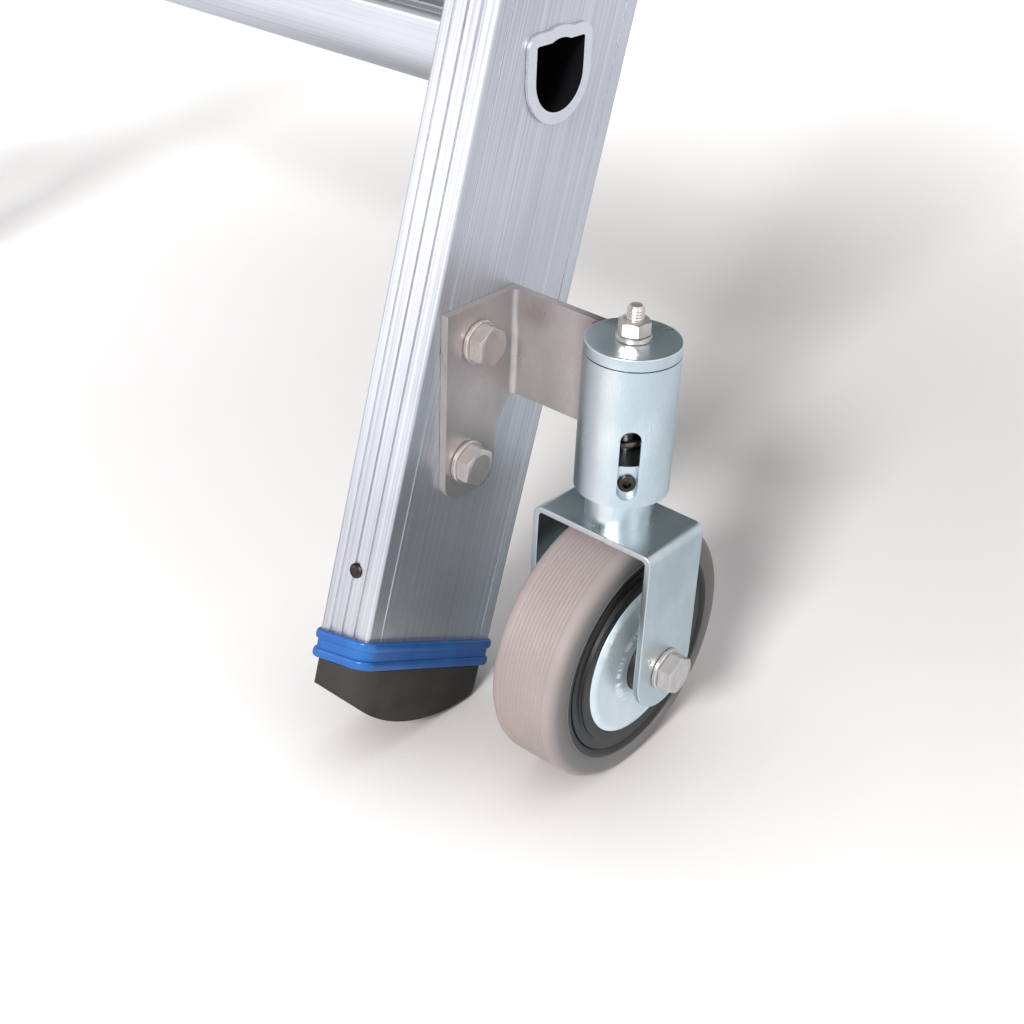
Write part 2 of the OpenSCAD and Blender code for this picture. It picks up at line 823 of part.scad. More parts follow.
// The rod stands in the plunger and ends above the cap, where its nut stops the castor
// from dropping out
module guide_rod() {
    rod_foot = rod_low + face_gap;
    nut_h = rod_d * 0.85;
    nut_z = unit_top + washer_t + 2 * face_gap;
    translate([0, 0, rod_foot]) cylinder(h = unit_top + 2 * rod_d - rod_foot, d = rod_d, $fn = 48);
    difference() {
        union() {
            translate([0, 0, unit_top + face_gap]) cylinder(h = washer_t, r = rod_d, $fn = 48);
            translate([0, 0, nut_z])
                cylinder(h = nut_h, d = rod_d * flats_per_d / cos(30), $fn = 6);
        }
        translate([0, 0, unit_top - past])
            cylinder(h = 4 * rod_d, r = rod_d / 2 + face_gap, $fn = 48);
    }
}

// Wheel: tyre, rim and two steel hub discs, all turned about the axle

module turned() {
    translate([0, 0, axle_z]) rotate([0, 90, 0]) rotate_extrude($fn = 128) children();
}

module tyre() {
    r = wheel_d / 2;
    shoulder = 4;
    high = r - rim_r;
    color("rosybrown") turned() translate([rim_r, 0]) {
        translate([0, -tyre_w / 2 + 1]) square([high - shoulder, tyre_w - 2]);
        translate([1, -tyre_w / 2]) square([high - shoulder - 1, tyre_w]);
        translate([0, -tyre_w / 2 + shoulder]) square([high, tyre_w - 2 * shoulder]);
        for (s = [-1, 1]) translate([high - shoulder, s * (tyre_w / 2 - shoulder)])
            circle(shoulder, $fn = 32);
    }
}

module wheel_rim() {
    step_r = (rim_r + disc_r) / 2;
    edge = tyre_w / 2 - 0.5;
    hub_half = fork_w / 2 - fork_t - 1;
    color("#241c1a") turned() {
        translate([sleeve_r + run_fit, -hub_half]) square([hub_r - sleeve_r - run_fit, 2 * hub_half]);
        translate([hub_r - 1, -5]) square([disc_r - hub_r + 2, 10]);
        translate([disc_r, -edge - 1.5]) square([step_r - disc_r, 2 * edge + 3]);
        translate([step_r - 1, -edge]) square([rim_r - face_gap - step_r + 1, 2 * edge]);
    }
}

module hub_discs() {
    out = tyre_w / 2 + 1;
    color("lightblue") for (s = [-1, 1]) mirror([s < 0 ? 1 : 0, 0, 0]) turned() polygon([
        [hub_r + face_gap, out + 2.6],
        [hub_r + 3, out + 2.6],
        [hub_r + 6, out + 1.4],
        [disc_r - 3, out + 1.4],
        [disc_r - face_gap, out],
        [disc_r - face_gap, out - 1.5],
        [disc_r - 3.4, out - 0.1],
        [hub_r + 5.6, out - 0.1],
        [hub_r + 2.8, out + 1.1],
        [hub_r + face_gap, out + 1.1]
    ]);
}

to_corner(right, front) stile(front_top);  // stile_front_right
to_corner(left, front) stile(front_top);  // stile_front_left
to_corner(right, rear) stile(rear_top);  // stile_rear_right
to_corner(left, rear) stile(rear_top);  // stile_rear_left
rungs(front);  // rungs_front
rungs(rear);  // rungs_rear
both_sides(front) foot_collar();  // foot_collars_front
both_sides(rear) foot_collar();  // foot_collars_rear
both_sides(front) foot_sole();  // foot_soles_front
both_sides(rear) foot_sole();  // foot_soles_rear
top_caps();  // top_caps_front
hinge_plates();  // hinge_plates_front
hinge_lugs();  // hinge_lugs_rear
hinge_bolts();
frame_rivets(front);  // frame_rivets_front
frame_rivets(rear);  // frame_rivets_rear
stay_strap(right);  // stay_strap_right
stay_strap(left);  // stay_strap_left
castor_bracket(right, front);  // castor_bracket_front_right
castor_bracket(left, front);  // castor_bracket_front_left
castor_bracket(right, rear);  // castor_bracket_rear_right
castor_bracket(left, rear);  // castor_bracket_rear_left
bracket_bolts(front);  // bracket_bolts_front
bracket_bolts(rear);  // bracket_bolts_rear
at_castor(right, front) spring_housing();  // spring_housing_front_right
at_castor(left, front) spring_housing();  // spring_housing_front_left
at_castor(right, rear) spring_housing();  // spring_housing_rear_right
at_castor(left, rear) spring_housing();  // spring_housing_rear_left
housing_caps(front);  // housing_caps_front
housing_caps(rear);  // housing_caps_rear
at_castor(right, front) wheel_fork();  // wheel_fork_front_right
at_castor(left, front) wheel_fork();  // wheel_fork_front_left
at_castor(right, rear) wheel_fork();  // wheel_fork_rear_right
at_castor(left, rear) wheel_fork();  // wheel_fork_rear_left
at_castor(right, front) plunger();  // plunger_front_right
at_castor(left, front) plunger();  // plunger_front_left
at_castor(right, rear) plunger();  // plunger_rear_right
at_castor(left, rear) plunger();  // plunger_rear_left
at_castor_unturned(right, front) castor_spring();  // castor_spring_front_right
at_castor_unturned(left, front) castor_spring();  // castor_spring_front_left
at_castor_unturned(right, rear) castor_spring();  // castor_spring_rear_right
at_castor_unturned(left, rear) castor_spring();  // castor_spring_rear_left
at_castor(right, front) castor_fasteners();  // castor_fasteners_front_right
at_castor(left, front) castor_fasteners();  // castor_fasteners_front_left
at_castor(right, rear) castor_fasteners();  // castor_fasteners_rear_right
at_castor(left, rear) castor_fasteners();  // castor_fasteners_rear_left
at_castor(right, front) tyre();  // tyre_front_right
at_castor(left, front) tyre();  // tyre_front_left
at_castor(right, rear) tyre();  // tyre_rear_right
at_castor(left, rear) tyre();  // tyre_rear_left
at_castor(right, front) wheel_rim();  // wheel_rim_front_right
at_castor(left, front) wheel_rim();  // wheel_rim_front_left
at_castor(right, rear) wheel_rim();  // wheel_rim_rear_right
at_castor(left, rear) wheel_rim();  // wheel_rim_rear_left
at_castor(right, front) hub_discs();  // hub_discs_front_right
at_castor(left, front) hub_discs();  // hub_discs_front_left
at_castor(right, rear) hub_discs();  // hub_discs_rear_right
at_castor(left, rear) hub_discs();  // hub_discs_rear_left
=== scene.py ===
# %% [markdown]
# # A mobile step ladder, dressed over its solids
#
# The ladder's parts already exist as exact solids, grouped into the bodies that move.
# This notebook loads them, gives each surface its finish, and swaps some solids for
# pieces that need softer edges, wound wire, chamfered bolts or woven webbing. All the
# lengths are in metres; values in millimetres are multiplied by MM where they are used.

# %% Load the solids and keep their box
import json
import math

import bmesh
import bpy
from mathutils import Matrix, Vector
from mathutils.bvhtree import BVHTree

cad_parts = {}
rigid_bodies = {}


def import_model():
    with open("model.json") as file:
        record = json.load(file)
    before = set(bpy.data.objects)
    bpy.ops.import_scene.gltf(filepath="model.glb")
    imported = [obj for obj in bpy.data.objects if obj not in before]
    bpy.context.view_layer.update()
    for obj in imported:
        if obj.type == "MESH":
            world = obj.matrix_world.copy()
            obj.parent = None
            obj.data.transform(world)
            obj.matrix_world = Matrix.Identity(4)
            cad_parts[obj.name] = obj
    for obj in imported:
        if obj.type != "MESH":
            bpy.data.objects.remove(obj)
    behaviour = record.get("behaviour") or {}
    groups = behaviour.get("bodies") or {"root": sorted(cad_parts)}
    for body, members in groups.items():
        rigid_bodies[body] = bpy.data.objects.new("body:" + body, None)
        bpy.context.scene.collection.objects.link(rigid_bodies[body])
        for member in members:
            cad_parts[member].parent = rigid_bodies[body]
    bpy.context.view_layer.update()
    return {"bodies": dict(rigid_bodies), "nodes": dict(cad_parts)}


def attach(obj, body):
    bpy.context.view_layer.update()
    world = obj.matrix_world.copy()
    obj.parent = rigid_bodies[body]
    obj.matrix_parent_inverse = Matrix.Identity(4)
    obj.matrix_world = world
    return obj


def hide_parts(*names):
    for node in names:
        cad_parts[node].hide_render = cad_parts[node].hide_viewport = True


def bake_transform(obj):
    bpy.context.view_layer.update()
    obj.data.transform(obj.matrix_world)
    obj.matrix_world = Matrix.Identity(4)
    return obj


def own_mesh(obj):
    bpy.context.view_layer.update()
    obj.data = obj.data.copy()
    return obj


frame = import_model()
nodes = frame["nodes"]
MM = 0.001
LEAN = math.radians(16)

# %% [markdown]
# ## Sizes that several steps share
#
# They say where the stiles, the hinge and the castors of the solids stand. A stile's
# inner face is at STILE_X, its outer one at SIDE_X, and its middle line meets the floor
# at STILE_FOOT_Y. The ladder is built alike on its four corners, so a sign stands for
# each direction: +1 for the right side and the rear frame, -1 for the left side and the
# front frame.

# %% Shared sizes
STILE_X = 0.225
SIDE_X = 0.248
STILE_MIDDLE_X = (STILE_X + SIDE_X) / 2
STILE_FOOT_Y = 0.638130
HINGE_Z = 2.015
CASTOR_X = 0.304
CASTOR_Y = 0.592630
AXLE_Z = 0.050
SIDE_NAMES = {1: "right", -1: "left"}
END_NAMES = {-1: "front", 1: "rear"}
CORNERS = [
    (f"{end_name}_{side_name}", side, end)
    for end, end_name in END_NAMES.items()
    for side, side_name in SIDE_NAMES.items()
]

# %% [markdown]
# ## The camera
#
# The photograph looks down at the right front foot from 39 cm above the floor. The
# camera's place, direction and lens were worked out from the corners of the castor and
# the stile, so they are written as a place, three angles and a focal length in pixels.

# %% Place the camera
CAMERA_PLACE = (0.56801, -0.97301, 0.39159)
CAMERA_YAW, CAMERA_PITCH, CAMERA_ROLL = (math.radians(a) for a in (39.35, 32.04, 2.49))
FOCAL_PIXELS = 1564
PICTURE_PIXELS = 1024


def new_object(name, data):
    made = bpy.data.objects.new(name, data)
    bpy.context.scene.collection.objects.link(made)
    return made


camera = new_object("camera", bpy.data.cameras.new("camera"))
bpy.context.scene.camera = camera
camera.data.lens = camera.data.sensor_width * FOCAL_PIXELS / PICTURE_PIXELS
camera.data.clip_start = 0.01
camera.matrix_world = (
    Matrix.Translation(CAMERA_PLACE)
    @ Matrix.Rotation(CAMERA_YAW, 4, "Z")
    @ Matrix.Rotation(math.pi / 2 - CAMERA_PITCH, 4, "X")
    @ Matrix.Rotation(CAMERA_ROLL, 4, "Z")
)
print("lens", round(camera.data.lens, 1), "mm")

# %% [markdown]
# ## Building node trees
#
# Finishes and repeated parts are both node trees, so one small function adds a node,
# sets its values and draws its links. A value that is another node's output becomes a
# link. Colours are written as the hex values that a colour picker shows, which are sRGB,
# and a second function turns them into the linear values that the renderer works in.
# Two more functions add one step of arithmetic each.


# %% Helpers for node trees and colours
def add(tree, kind, inputs=None, **settings):
    made = tree.nodes.new(kind)
    for name, value in settings.items():
        setattr(made, name, value)
    for name, value in (inputs or {}).items():
        if isinstance(value, bpy.types.NodeSocket):
            tree.links.new(value, made.inputs[name])
        else:
            made.inputs[name].default_value = value
    return made


def linear(hex_colour):
    parts = [int(hex_colour[i : i + 2], 16) / 255 for i in (1, 3, 5)]
    return tuple(p / 12.92 if p <= 0.04045 else ((p + 0.055) / 1.055) ** 2.4 for p in parts) + (1.0,)


def vector_step(tree, operation, *values, result="Vector"):
    return add(tree, "ShaderNodeVectorMath", dict(enumerate(values)), operation=operation).outputs[result]


def number_step(tree, operation, *values):
    return add(tree, "ShaderNodeMath", dict(enumerate(values)), operation=operation).outputs["Value"]


# %% [markdown]
# ## A finish, step by step
#
# Each finish starts from Blender's Principled shader and adds the same few things: a
# pattern, a colour and mostly a roughness that vary with it, and a slight bump. The
# pattern reads Object coordinates through a Mapping node of type Texture, which turns
# the coordinates first and then divides by a size, so sizes are lengths on the object.
# A grain that is too fine to show is drawn coarser than it is, at 0.3 to 0.9 mm.


# %% The parts that all the finishes share
def new_finish(name, metallic=0.0, **shader_values):
    finish = bpy.data.materials.new(name)
    finish.use_nodes = True
    shader = finish.node_tree.nodes["Principled BSDF"]
    shader.inputs["Metallic"].default_value = metallic
    for socket, value in shader_values.items():
        shader.inputs[socket.replace("_", " ")].default_value = value
    return finish


def pattern(finish, size_mm, turn=(0, 0, 0), detail=2.0, rough=0.5):
    tree = finish.node_tree
    mapped = add(
        tree,
        "ShaderNodeMapping",
        {
            "Vector": add(tree, "ShaderNodeTexCoord").outputs["Object"],
            "Rotation": turn,
            "Scale": [s * MM for s in size_mm],
        },
        vector_type="TEXTURE",
    ).outputs["Vector"]
    noise = {"Vector": mapped, "Scale": 1.0, "Detail": detail, "Roughness": rough}
    return add(tree, "ShaderNodeTexNoise", noise).outputs["Fac"]


def spread(finish, value, low, high, low_in=0.3, high_in=0.7, curve="LINEAR"):
    return add(
        finish.node_tree,
        "ShaderNodeMapRange",
        {"Value": value, "From Min": low_in, "From Max": high_in, "To Min": low, "To Max": high},
        interpolation_type=curve,
    ).outputs["Result"]


def blend_colours(finish, value, first, second):
    """Mixes two colours of a finish or of the world: hex values, linear ones or outputs."""
    mix = add(finish.node_tree, "ShaderNodeMix", {"Factor": value}, data_type="RGBA")
    for socket, colour in zip([s for s in mix.inputs if s.type == "RGBA"], (first, second)):
        if isinstance(colour, bpy.types.NodeSocket):
            finish.node_tree.links.new(colour, socket)
        else:
            socket.default_value = linear(colour) if isinstance(colour, str) else colour
    return next(s for s in mix.outputs if s.type == "RGBA")


def wire_up(finish, colour, height, depth_mm, bump_strength, roughness=None):
    tree = finish.node_tree
    shader = tree.nodes["Principled BSDF"]
    bump = add(
        tree,
        "ShaderNodeBump",
        {"Height": height, "Strength": bump_strength, "Distance": depth_mm * MM},
    )
    tree.links.new(colour, shader.inputs["Base Color"])
    tree.links.new(bump.outputs["Normal"], shader.inputs["Normal"])
    if roughness is not None:
        tree.links.new(roughness, shader.inputs["Roughness"])
    print("finish:", finish.name)
    return finish


def retint(finish, value, hex_colour, tint_first=False):
    """Blends a finish's own colour with one more, and gives the result to its shader."""
    socket = finish.node_tree.nodes["Principled BSDF"].inputs["Base Color"]
    own = socket.links[0].from_socket
    pair = (hex_colour, own) if tint_first else (own, hex_colour)
    finish.node_tree.links.new(blend_colours(finish, value, *pair), socket)


# %% [markdown]
# ## Extruded aluminium
#
# Stiles and rungs are pressed through a die, which draws fine lines along their whole
# length. The lines are noise stretched along the profile: decimetres long, and about
# half a millimetre wide, coarser than the finest real ones, so that they show. The front
# and rear stiles lean in opposite directions, so the same recipe is made once for each.


# %% Aluminium for the stiles and the rungs
ALONG_X = 0
ALONG_Z = 2


def extruded_aluminium(name, turn, line_mm, long_mm, pale, deep, along):
    finish = new_finish(name, metallic=0.92)
    size = [line_mm] * 3
    size[along] = long_mm
    fine = pattern(finish, size, turn, detail=4.0, rough=0.7)
    wide = pattern(finish, [s * 9 for s in size], turn, detail=2.0)
    cloud = pattern(finish, (60, 60, 60), detail=2.0)
    lines = blend_colours(finish, spread(finish, fine, 0, 1), deep, pale)
    bands = blend_colours(finish, spread(finish, wide, 0, 0.22), lines, deep)
    return wire_up(
        finish,
        colour=blend_colours(finish, spread(finish, cloud, 0, 0.18), bands, "#FFFFFF"),
        roughness=spread(finish, fine, 0.5, 0.32),
        height=fine,
        depth_mm=0.05,
        bump_strength=0.35,
    )


stile_finishes = {
    end_name: extruded_aluminium(
        "extruded_aluminium_" + end_name, (end * LEAN, 0, 0), 0.55, 260, "#DEE0E6", "#A5A7B0", ALONG_Z
    )
    for end, end_name in END_NAMES.items()
}
rung_finish = extruded_aluminium(
    "extruded_aluminium_rungs", (0, 0, 0), 0.5, 200, "#E6E8EC", "#C6C8CF", ALONG_X
)

# %% [markdown]
# ## Zinc-plated steel
#
# The castors' steel is plated with zinc: bright, slightly blue or warm, with faint
# clouds where the plating differs and a very fine grain from rolling. Two layers of
# noise draw them. All the steel and the cast aluminium share this recipe, and each has
# tints of its own: the bracket's plating is warmer than the housing's.


# %% Zinc plating in several tints
def zinc_plated(name, pale, deep, smooth=0.26, matt=0.4, cloud_mm=14, grain_mm=0.5, metallic=1.0):
    finish = new_finish(name, metallic=metallic)
    cloud = pattern(finish, (cloud_mm, cloud_mm, cloud_mm * 1.6), detail=3.0)
    grain = pattern(finish, (grain_mm, grain_mm, grain_mm * 6), detail=3.0, rough=0.65)
    speckled = blend_colours(finish, spread(finish, grain, 0, 0.5), pale, deep)
    return wire_up(
        finish,
        colour=blend_colours(finish, spread(finish, cloud, 0, 0.75), speckled, deep),
        roughness=spread(finish, cloud, smooth, matt),
        height=grain,
        depth_mm=0.03,
        bump_strength=0.25,
    )


TINT_AND_SHADE_NEAR = 17 * MM
TINT_AND_SHADE_FAR = 26 * MM


def heat_tint_and_shade(finish):
    """Browns the plating close to the castor's upright tube: heat tint of the weld, and painted shade in the
    corner of arm and tube.
    """
    tree = finish.node_tree
    folded = vector_step(tree, "ABSOLUTE", add(tree, "ShaderNodeTexCoord").outputs["Object"])
    offset = vector_step(tree, "SUBTRACT", folded, (CASTOR_X, CASTOR_Y, 0))
    level = vector_step(tree, "MULTIPLY", offset, (1, 1, 0))
    distance = vector_step(tree, "LENGTH", level, result="Value")
    # heat tint and painted shade: brown next to the tube, fading out 26 mm from its axis
    retint(finish, spread(finish, distance, 0.75, 0.0, TINT_AND_SHADE_NEAR, TINT_AND_SHADE_FAR), "#6E5049")


bracket_finish = zinc_plated("zinc_plate_warm", "#C9C1C0", "#ACA5A5", metallic=0.75)
heat_tint_and_shade(bracket_finish)
housing_finish = zinc_plated("zinc_plate_bright", "#DDE6EA", "#BFCBD1")
fork_finish = zinc_plated("zinc_plate_fork", "#D2DADD", "#B5C1C5")
disc_finish = zinc_plated("zinc_plate_disc", "#EAF3F8", "#D2DFE6", cloud_mm=9, metallic=0.5)
fastener_finish = zinc_plated(
    "zinc_plate_fasteners", "#DDD2CB", "#BCBAB9", cloud_mm=4, grain_mm=0.3, metallic=0.78
)
hinge_finish = zinc_plated("zinc_plate_hinge", "#D2D6D8", "#B2B9BC", cloud_mm=18)
spring_finish = zinc_plated("oiled_spring_steel", "#8A7F78", "#4A403C", smooth=0.3, matt=0.5, cloud_mm=3)
cast_finish = zinc_plated(
    "cast_aluminium", "#C3C5C9", "#9A9CA2", smooth=0.42, matt=0.6, cloud_mm=7, grain_mm=0.9
)
weld_finish = zinc_plated("plated_weld", "#A3918A", "#7C6C68", smooth=0.4, matt=0.6, cloud_mm=2)
screw_finish = zinc_plated("blackened_steel", "#5B524D", "#2E2826", smooth=0.25, matt=0.4, cloud_mm=3)
rivet_finish = zinc_plated("aluminium_rivets", "#D5D6DA", "#A9ABB1", cloud_mm=3)

# %% [markdown]
# ## Plastic and rubber
#
# The collar is moulded polypropylene with a fine spark-eroded grain, the rim is nylon,
# darker and less glossy, and the sole is rubber, which is the most matt. The tyre is
# grey thermoplastic rubber, warm in tone, with dust in its pores. They differ only in
# colour, grain and gloss, so they share one recipe too.


# %% Moulded plastic and rubber
def moulded(name, pale, deep, grain_mm, smooth, matt, depth_mm=0.03, cloud_mm=25, **values):
    finish = new_finish(name, **values)
    grain = pattern(finish, (grain_mm,) * 3, detail=3.0, rough=0.6)
    cloud = pattern(finish, (cloud_mm,) * 3, detail=3.0)
    tone = blend_colours(finish, spread(finish, cloud, 0, 0.8), pale, deep)
    return wire_up(
        finish,
        colour=blend_colours(finish, spread(finish, grain, 0, 0.35), tone, deep),
        roughness=spread(finish, cloud, smooth, matt),
        height=grain,
        depth_mm=depth_mm,
        bump_strength=0.4,
    )


collar_finish = moulded("moulded_polypropylene_blue", "#1F6DB8", "#1A4A94", 0.6, 0.3, 0.45, IOR=1.49)
sole_finish = moulded("moulded_rubber_black", "#33312F", "#1E1D1C", 0.8, 0.55, 0.75, depth_mm=0.06)
cap_finish = moulded("moulded_polypropylene_black", "#2B2B2C", "#1B1B1C", 0.6, 0.4, 0.55)
rim_finish = moulded("moulded_nylon_dark", "#1D1715", "#110E0D", 0.5, 0.4, 0.55, IOR=1.5)


def tyre_rubber():
    """Grey rubber, with painted shade: a darker grey on the sidewalls, fading out at the tread."""
    finish = moulded(
        "grey_thermoplastic_rubber", "#A39795", "#938886", 0.7, 0.55, 0.72, depth_mm=0.04, cloud_mm=30
    )
    tread_unshaded = add(finish.node_tree, "ShaderNodeAttribute", attribute_name="tread_unshaded").outputs["Fac"]
    # painted shade: the sidewalls take the darker grey, the tread keeps the rubber's own colour
    retint(finish, tread_unshaded, "#7F7B7A", tint_first=True)
    return finish


tyre_finish = tyre_rubber()

# %% [markdown]
# ## Webbing
#
# Woven tape shows its weave: ribs across it about a millimetre and a half apart, with
# finer threads along it. Two wave textures at those sizes make the colour and the bump.


# %% A woven finish
WAVE_LENGTH = 0.314


def woven(name, pale, deep, rib_mm, thread_mm):
    """A Wave texture of scale 1 repeats after WAVE_LENGTH, so a real size sets the scale."""
    finish = new_finish(name, Roughness=0.85)
    tree = finish.node_tree
    place = add(tree, "ShaderNodeTexCoord").outputs["Object"]
    ribs, threads = (
        add(
            tree,
            "ShaderNodeTexWave",
            {"Vector": place, "Scale": WAVE_LENGTH / (size_mm * MM), "Distortion": 0.0},
            bands_direction=direction,
        ).outputs["Fac"]
        for size_mm, direction in ((rib_mm, "Y"), (thread_mm, "Z"))
    )
    both = number_step(tree, "MULTIPLY", ribs, threads)
    return wire_up(
        finish, colour=blend_colours(finish, both, deep, pale), height=both, depth_mm=0.25, bump_strength=0.8
    )


webbing_finish = woven("woven_polyester", "#4A4A4D", "#242426", 1.5, 1.1)

# %% [markdown]
# ## Which solid has which finish
#
# A solid whose shape is right stays as it is and only gets its finish. The names of the
# solids say what they are, so a table from the start of the name to the finish is
# enough. Stiles are the one kind that needs the frame's direction too.

# %% Give every solid its finish
FINISHES = {
    "stile_front": stile_finishes["front"],
    "stile_rear": stile_finishes["rear"],
    "rungs": rung_finish,
    "foot_collars": collar_finish,
    "foot_soles": sole_finish,
    "top_caps": cap_finish,
    "hinge_plates": hinge_finish,
    "hinge_lugs": cast_finish,
    "hinge_bolts": fastener_finish,
    "frame_rivets": rivet_finish,
    "stay_strap": webbing_finish,
    "castor_bracket": bracket_finish,
    "bracket_bolts": fastener_finish,
    "spring_housing": housing_finish,
    "housing_caps": housing_finish,
    "wheel_fork": fork_finish,
    "plunger": housing_finish,
    "castor_spring": spring_finish,
    "castor_fasteners": fastener_finish,
    "tyre": tyre_finish,
    "wheel_rim": rim_finish,
    "hub_discs": disc_finish,
}
for node_name, solid in nodes.items():
    finish = next(f for start, f in FINISHES.items() if node_name.startswith(start))
    solid.data.materials.clear()
    solid.data.materials.append(finish)
print("gave", len(nodes), "solids their finish")

# %% [markdown]
# ## Pieces with soft edges
#
# No real edge is perfectly sharp: sheet metal has a slight burr, and moulded plastic has
# a radius that the mould needs. Each such solid is copied, its loose triangles are
# merged into faces, and a Bevel modifier rounds what is sharper than 30 degrees. The
# copy rides on the same body and stands for its solid.


# %% Soften the edges of a solid
BODY_OF = {
    node_name: next(b for b, empty in frame["bodies"].items() if solid.parent == empty)
    for node_name, solid in nodes.items()
}


def new_piece(name, mesh, body, finish=None):
    piece = new_object(name, mesh)
    if finish is not None:
        mesh.materials.clear()
        mesh.materials.append(finish)
    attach(piece, body)
    return piece


def finished_mesh(work, name, sharp_degrees=None):
    """Keeps a drawing as a mesh; edges that turn by more than the angle stay sharp."""
    mesh = bpy.data.meshes.new(name)
    work.to_mesh(mesh)
    work.free()
    if sharp_degrees is not None:
        mesh.set_sharp_from_angle(angle=math.radians(sharp_degrees))
    return mesh


def merged_copy(node_name, name):
    solid = nodes[node_name]
    work = bmesh.new()
    work.from_mesh(solid.data)
    work.transform(solid.matrix_world)
    bmesh.ops.remove_doubles(work, verts=work.verts, dist=0.001 * MM)
    bmesh.ops.dissolve_limit(work, angle_limit=math.radians(0.5), verts=work.verts, edges=work.edges)
    for face in work.faces:
        face.smooth = True
    return finished_mesh(work, name)


def soften(node_name, width_mm, segments=2):
    name = node_name + "_soft"
    piece = new_piece(
        name,
        merged_copy(node_name, name),
        BODY_OF[node_name],
        nodes[node_name].data.materials[0],
    )
    edges = piece.modifiers.new("soft edges", "BEVEL")
    edges.width = width_mm * MM
    edges.segments = segments
    edges.limit_method = "ANGLE"
    edges.angle_limit = math.radians(30)
    piece.modifiers.new("even shading", "WEIGHTED_NORMAL").keep_sharp = True
    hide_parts(node_name)
    return piece


EDGE_RADII = {
    "castor_bracket": 0.35,
    "wheel_fork": 0.4,
    "spring_housing": 0.35,
    "housing_caps": 0.6,
    "plunger": 0.4,
    "hinge_plates": 0.4,
    "hinge_lugs": 1.2,
    "foot_soles": 1.2,
    "top_caps": 1.0,
    "wheel_rim": 0.5,
    "hub_discs": 0.2,
}
softened = [
    soften(node_name, width, 3 if width > 0.5 else 2)
    for node_name in nodes
    for start, width in EDGE_RADII.items()
    if node_name.startswith(start)
]
print("softened", len(softened), "solids")

# %% [markdown]
# ## Rungs, dark inside
#
# Hardly any light reaches the inside of a rung, so the open ends look black. A second
# finish paints that shade, near-black, on the faces that look inwards: those from which
# a straight line along the face's normal soon meets the opposite wall.

# %% Rungs with a dark bore
# painted shade: a near-black finish for the inside of the rungs
bore_shade_finish = moulded("painted_shade_bore", "#17161A", "#0D0C0F", 0.8, 0.8, 0.95, Specular_IOR_Level=0.05)
# A line starts no further out than MEASURED_WITHIN_X, where the tube is closed all round.
NEAR_WALL = 3.5 * MM
FAR_WALL = 40 * MM
CLEAR_OF_FACE = 0.1 * MM
MEASURED_WITHIN_X = 0.2
for end_name in END_NAMES.values():
    rungs = soften("rungs_" + end_name, 0.25)
    rungs.data.materials.append(bore_shade_finish)
    corners = [v.co for v in rungs.data.vertices]
    walls = BVHTree.FromPolygons(corners, [list(f.vertices) for f in rungs.data.polygons])
    for face in rungs.data.polygons:
        start = face.center.copy()
        start.x = max(-MEASURED_WITHIN_X, min(MEASURED_WITHIN_X, start.x))
        distance = walls.ray_cast(start + face.normal * CLEAR_OF_FACE, face.normal, FAR_WALL)[3]
        if distance is not None and distance > NEAR_WALL and abs(face.normal.x) < 0.5:
            face.material_index = 1
    print(rungs.name, sum(f.material_index for f in rungs.data.polygons), "faces inside")

# %% [markdown]
# ## Round and hexagonal shapes
#
# Bolts, washers, rivets and tyres are all round about an axis, so one function spins a
# profile of (radius, height) points round Z. Bolt heads and nuts are hexagons whose
# corners are turned off at 30 degrees, which leaves the curved edge seen on every real
# one: the side wall is lower where the hexagon reaches further out.


# %% Spin a profile, cut a hexagon
def turns_of(steps):
    return [2 * math.pi * i / steps for i in range(steps)]


def spin(work, profile, steps=48, move=(0, 0, 0)):
    """Spins (radius, height) points, in mm, round Z. One on the axis stays one point."""
    rings = []
    for radius, height in profile:
        rings.append(
            [
                work.verts.new(
                    (
                        move[0] + radius * math.cos(t) * MM,
                        move[1] + radius * math.sin(t) * MM,
                        move[2] + height * MM,
                    )
                )
                for t in (turns_of(steps) if radius else [0.0])
            ]
        )
    for low, high in zip(rings, rings[1:]):
        for i in range(steps):
            j = (i + 1) % steps
            corners = [low[i % len(low)], low[j % len(low)], high[j % len(high)], high[i % len(high)]]
            unique = [c for k, c in enumerate(corners) if c not in corners[:k]]
            work.faces.new(unique).smooth = True


def bridge(work, rows):
    """Joins each closed row of points to the next, which has as many points."""
    for first, second in zip(rows, rows[1:]):
        for i in range(len(first)):
            j = (i + 1) % len(first)
            work.faces.new((first[i], first[j], second[j], second[i])).smooth = True


HEXAGON_STEPS = 48
CORNER_CIRCLE = 0.96
SMALLEST_HOLE = 0.01


def hexagon(work, flats, low, high, hole=SMALLEST_HOLE, chamfer_low=False):
    """A hexagon across its flats from low to high, in mm, with its corners turned off."""
    circle = flats / 2 * CORNER_CIRCLE

    def side(turn):
        return flats / 2 / math.cos((turn % (math.pi / 3)) - math.pi / 6)

    def drop(turn):
        return (side(turn) - circle) * math.tan(math.radians(30))

    outline = (
        (lambda t: hole, lambda t: low),
        (lambda t: circle, lambda t: low),
        (side, lambda t: low + (drop(t) if chamfer_low else 0.0)),
        (side, lambda t: high - drop(t)),
        (lambda t: circle, lambda t: high),
        (lambda t: hole, lambda t: high),
    )
    rows = [
        [
            work.verts.new((radius(t) * math.cos(t) * MM, radius(t) * math.sin(t) * MM, height(t) * MM))
            for t in turns_of(HEXAGON_STEPS)
        ]
        for radius, height in outline
    ]
    bridge(work, rows)


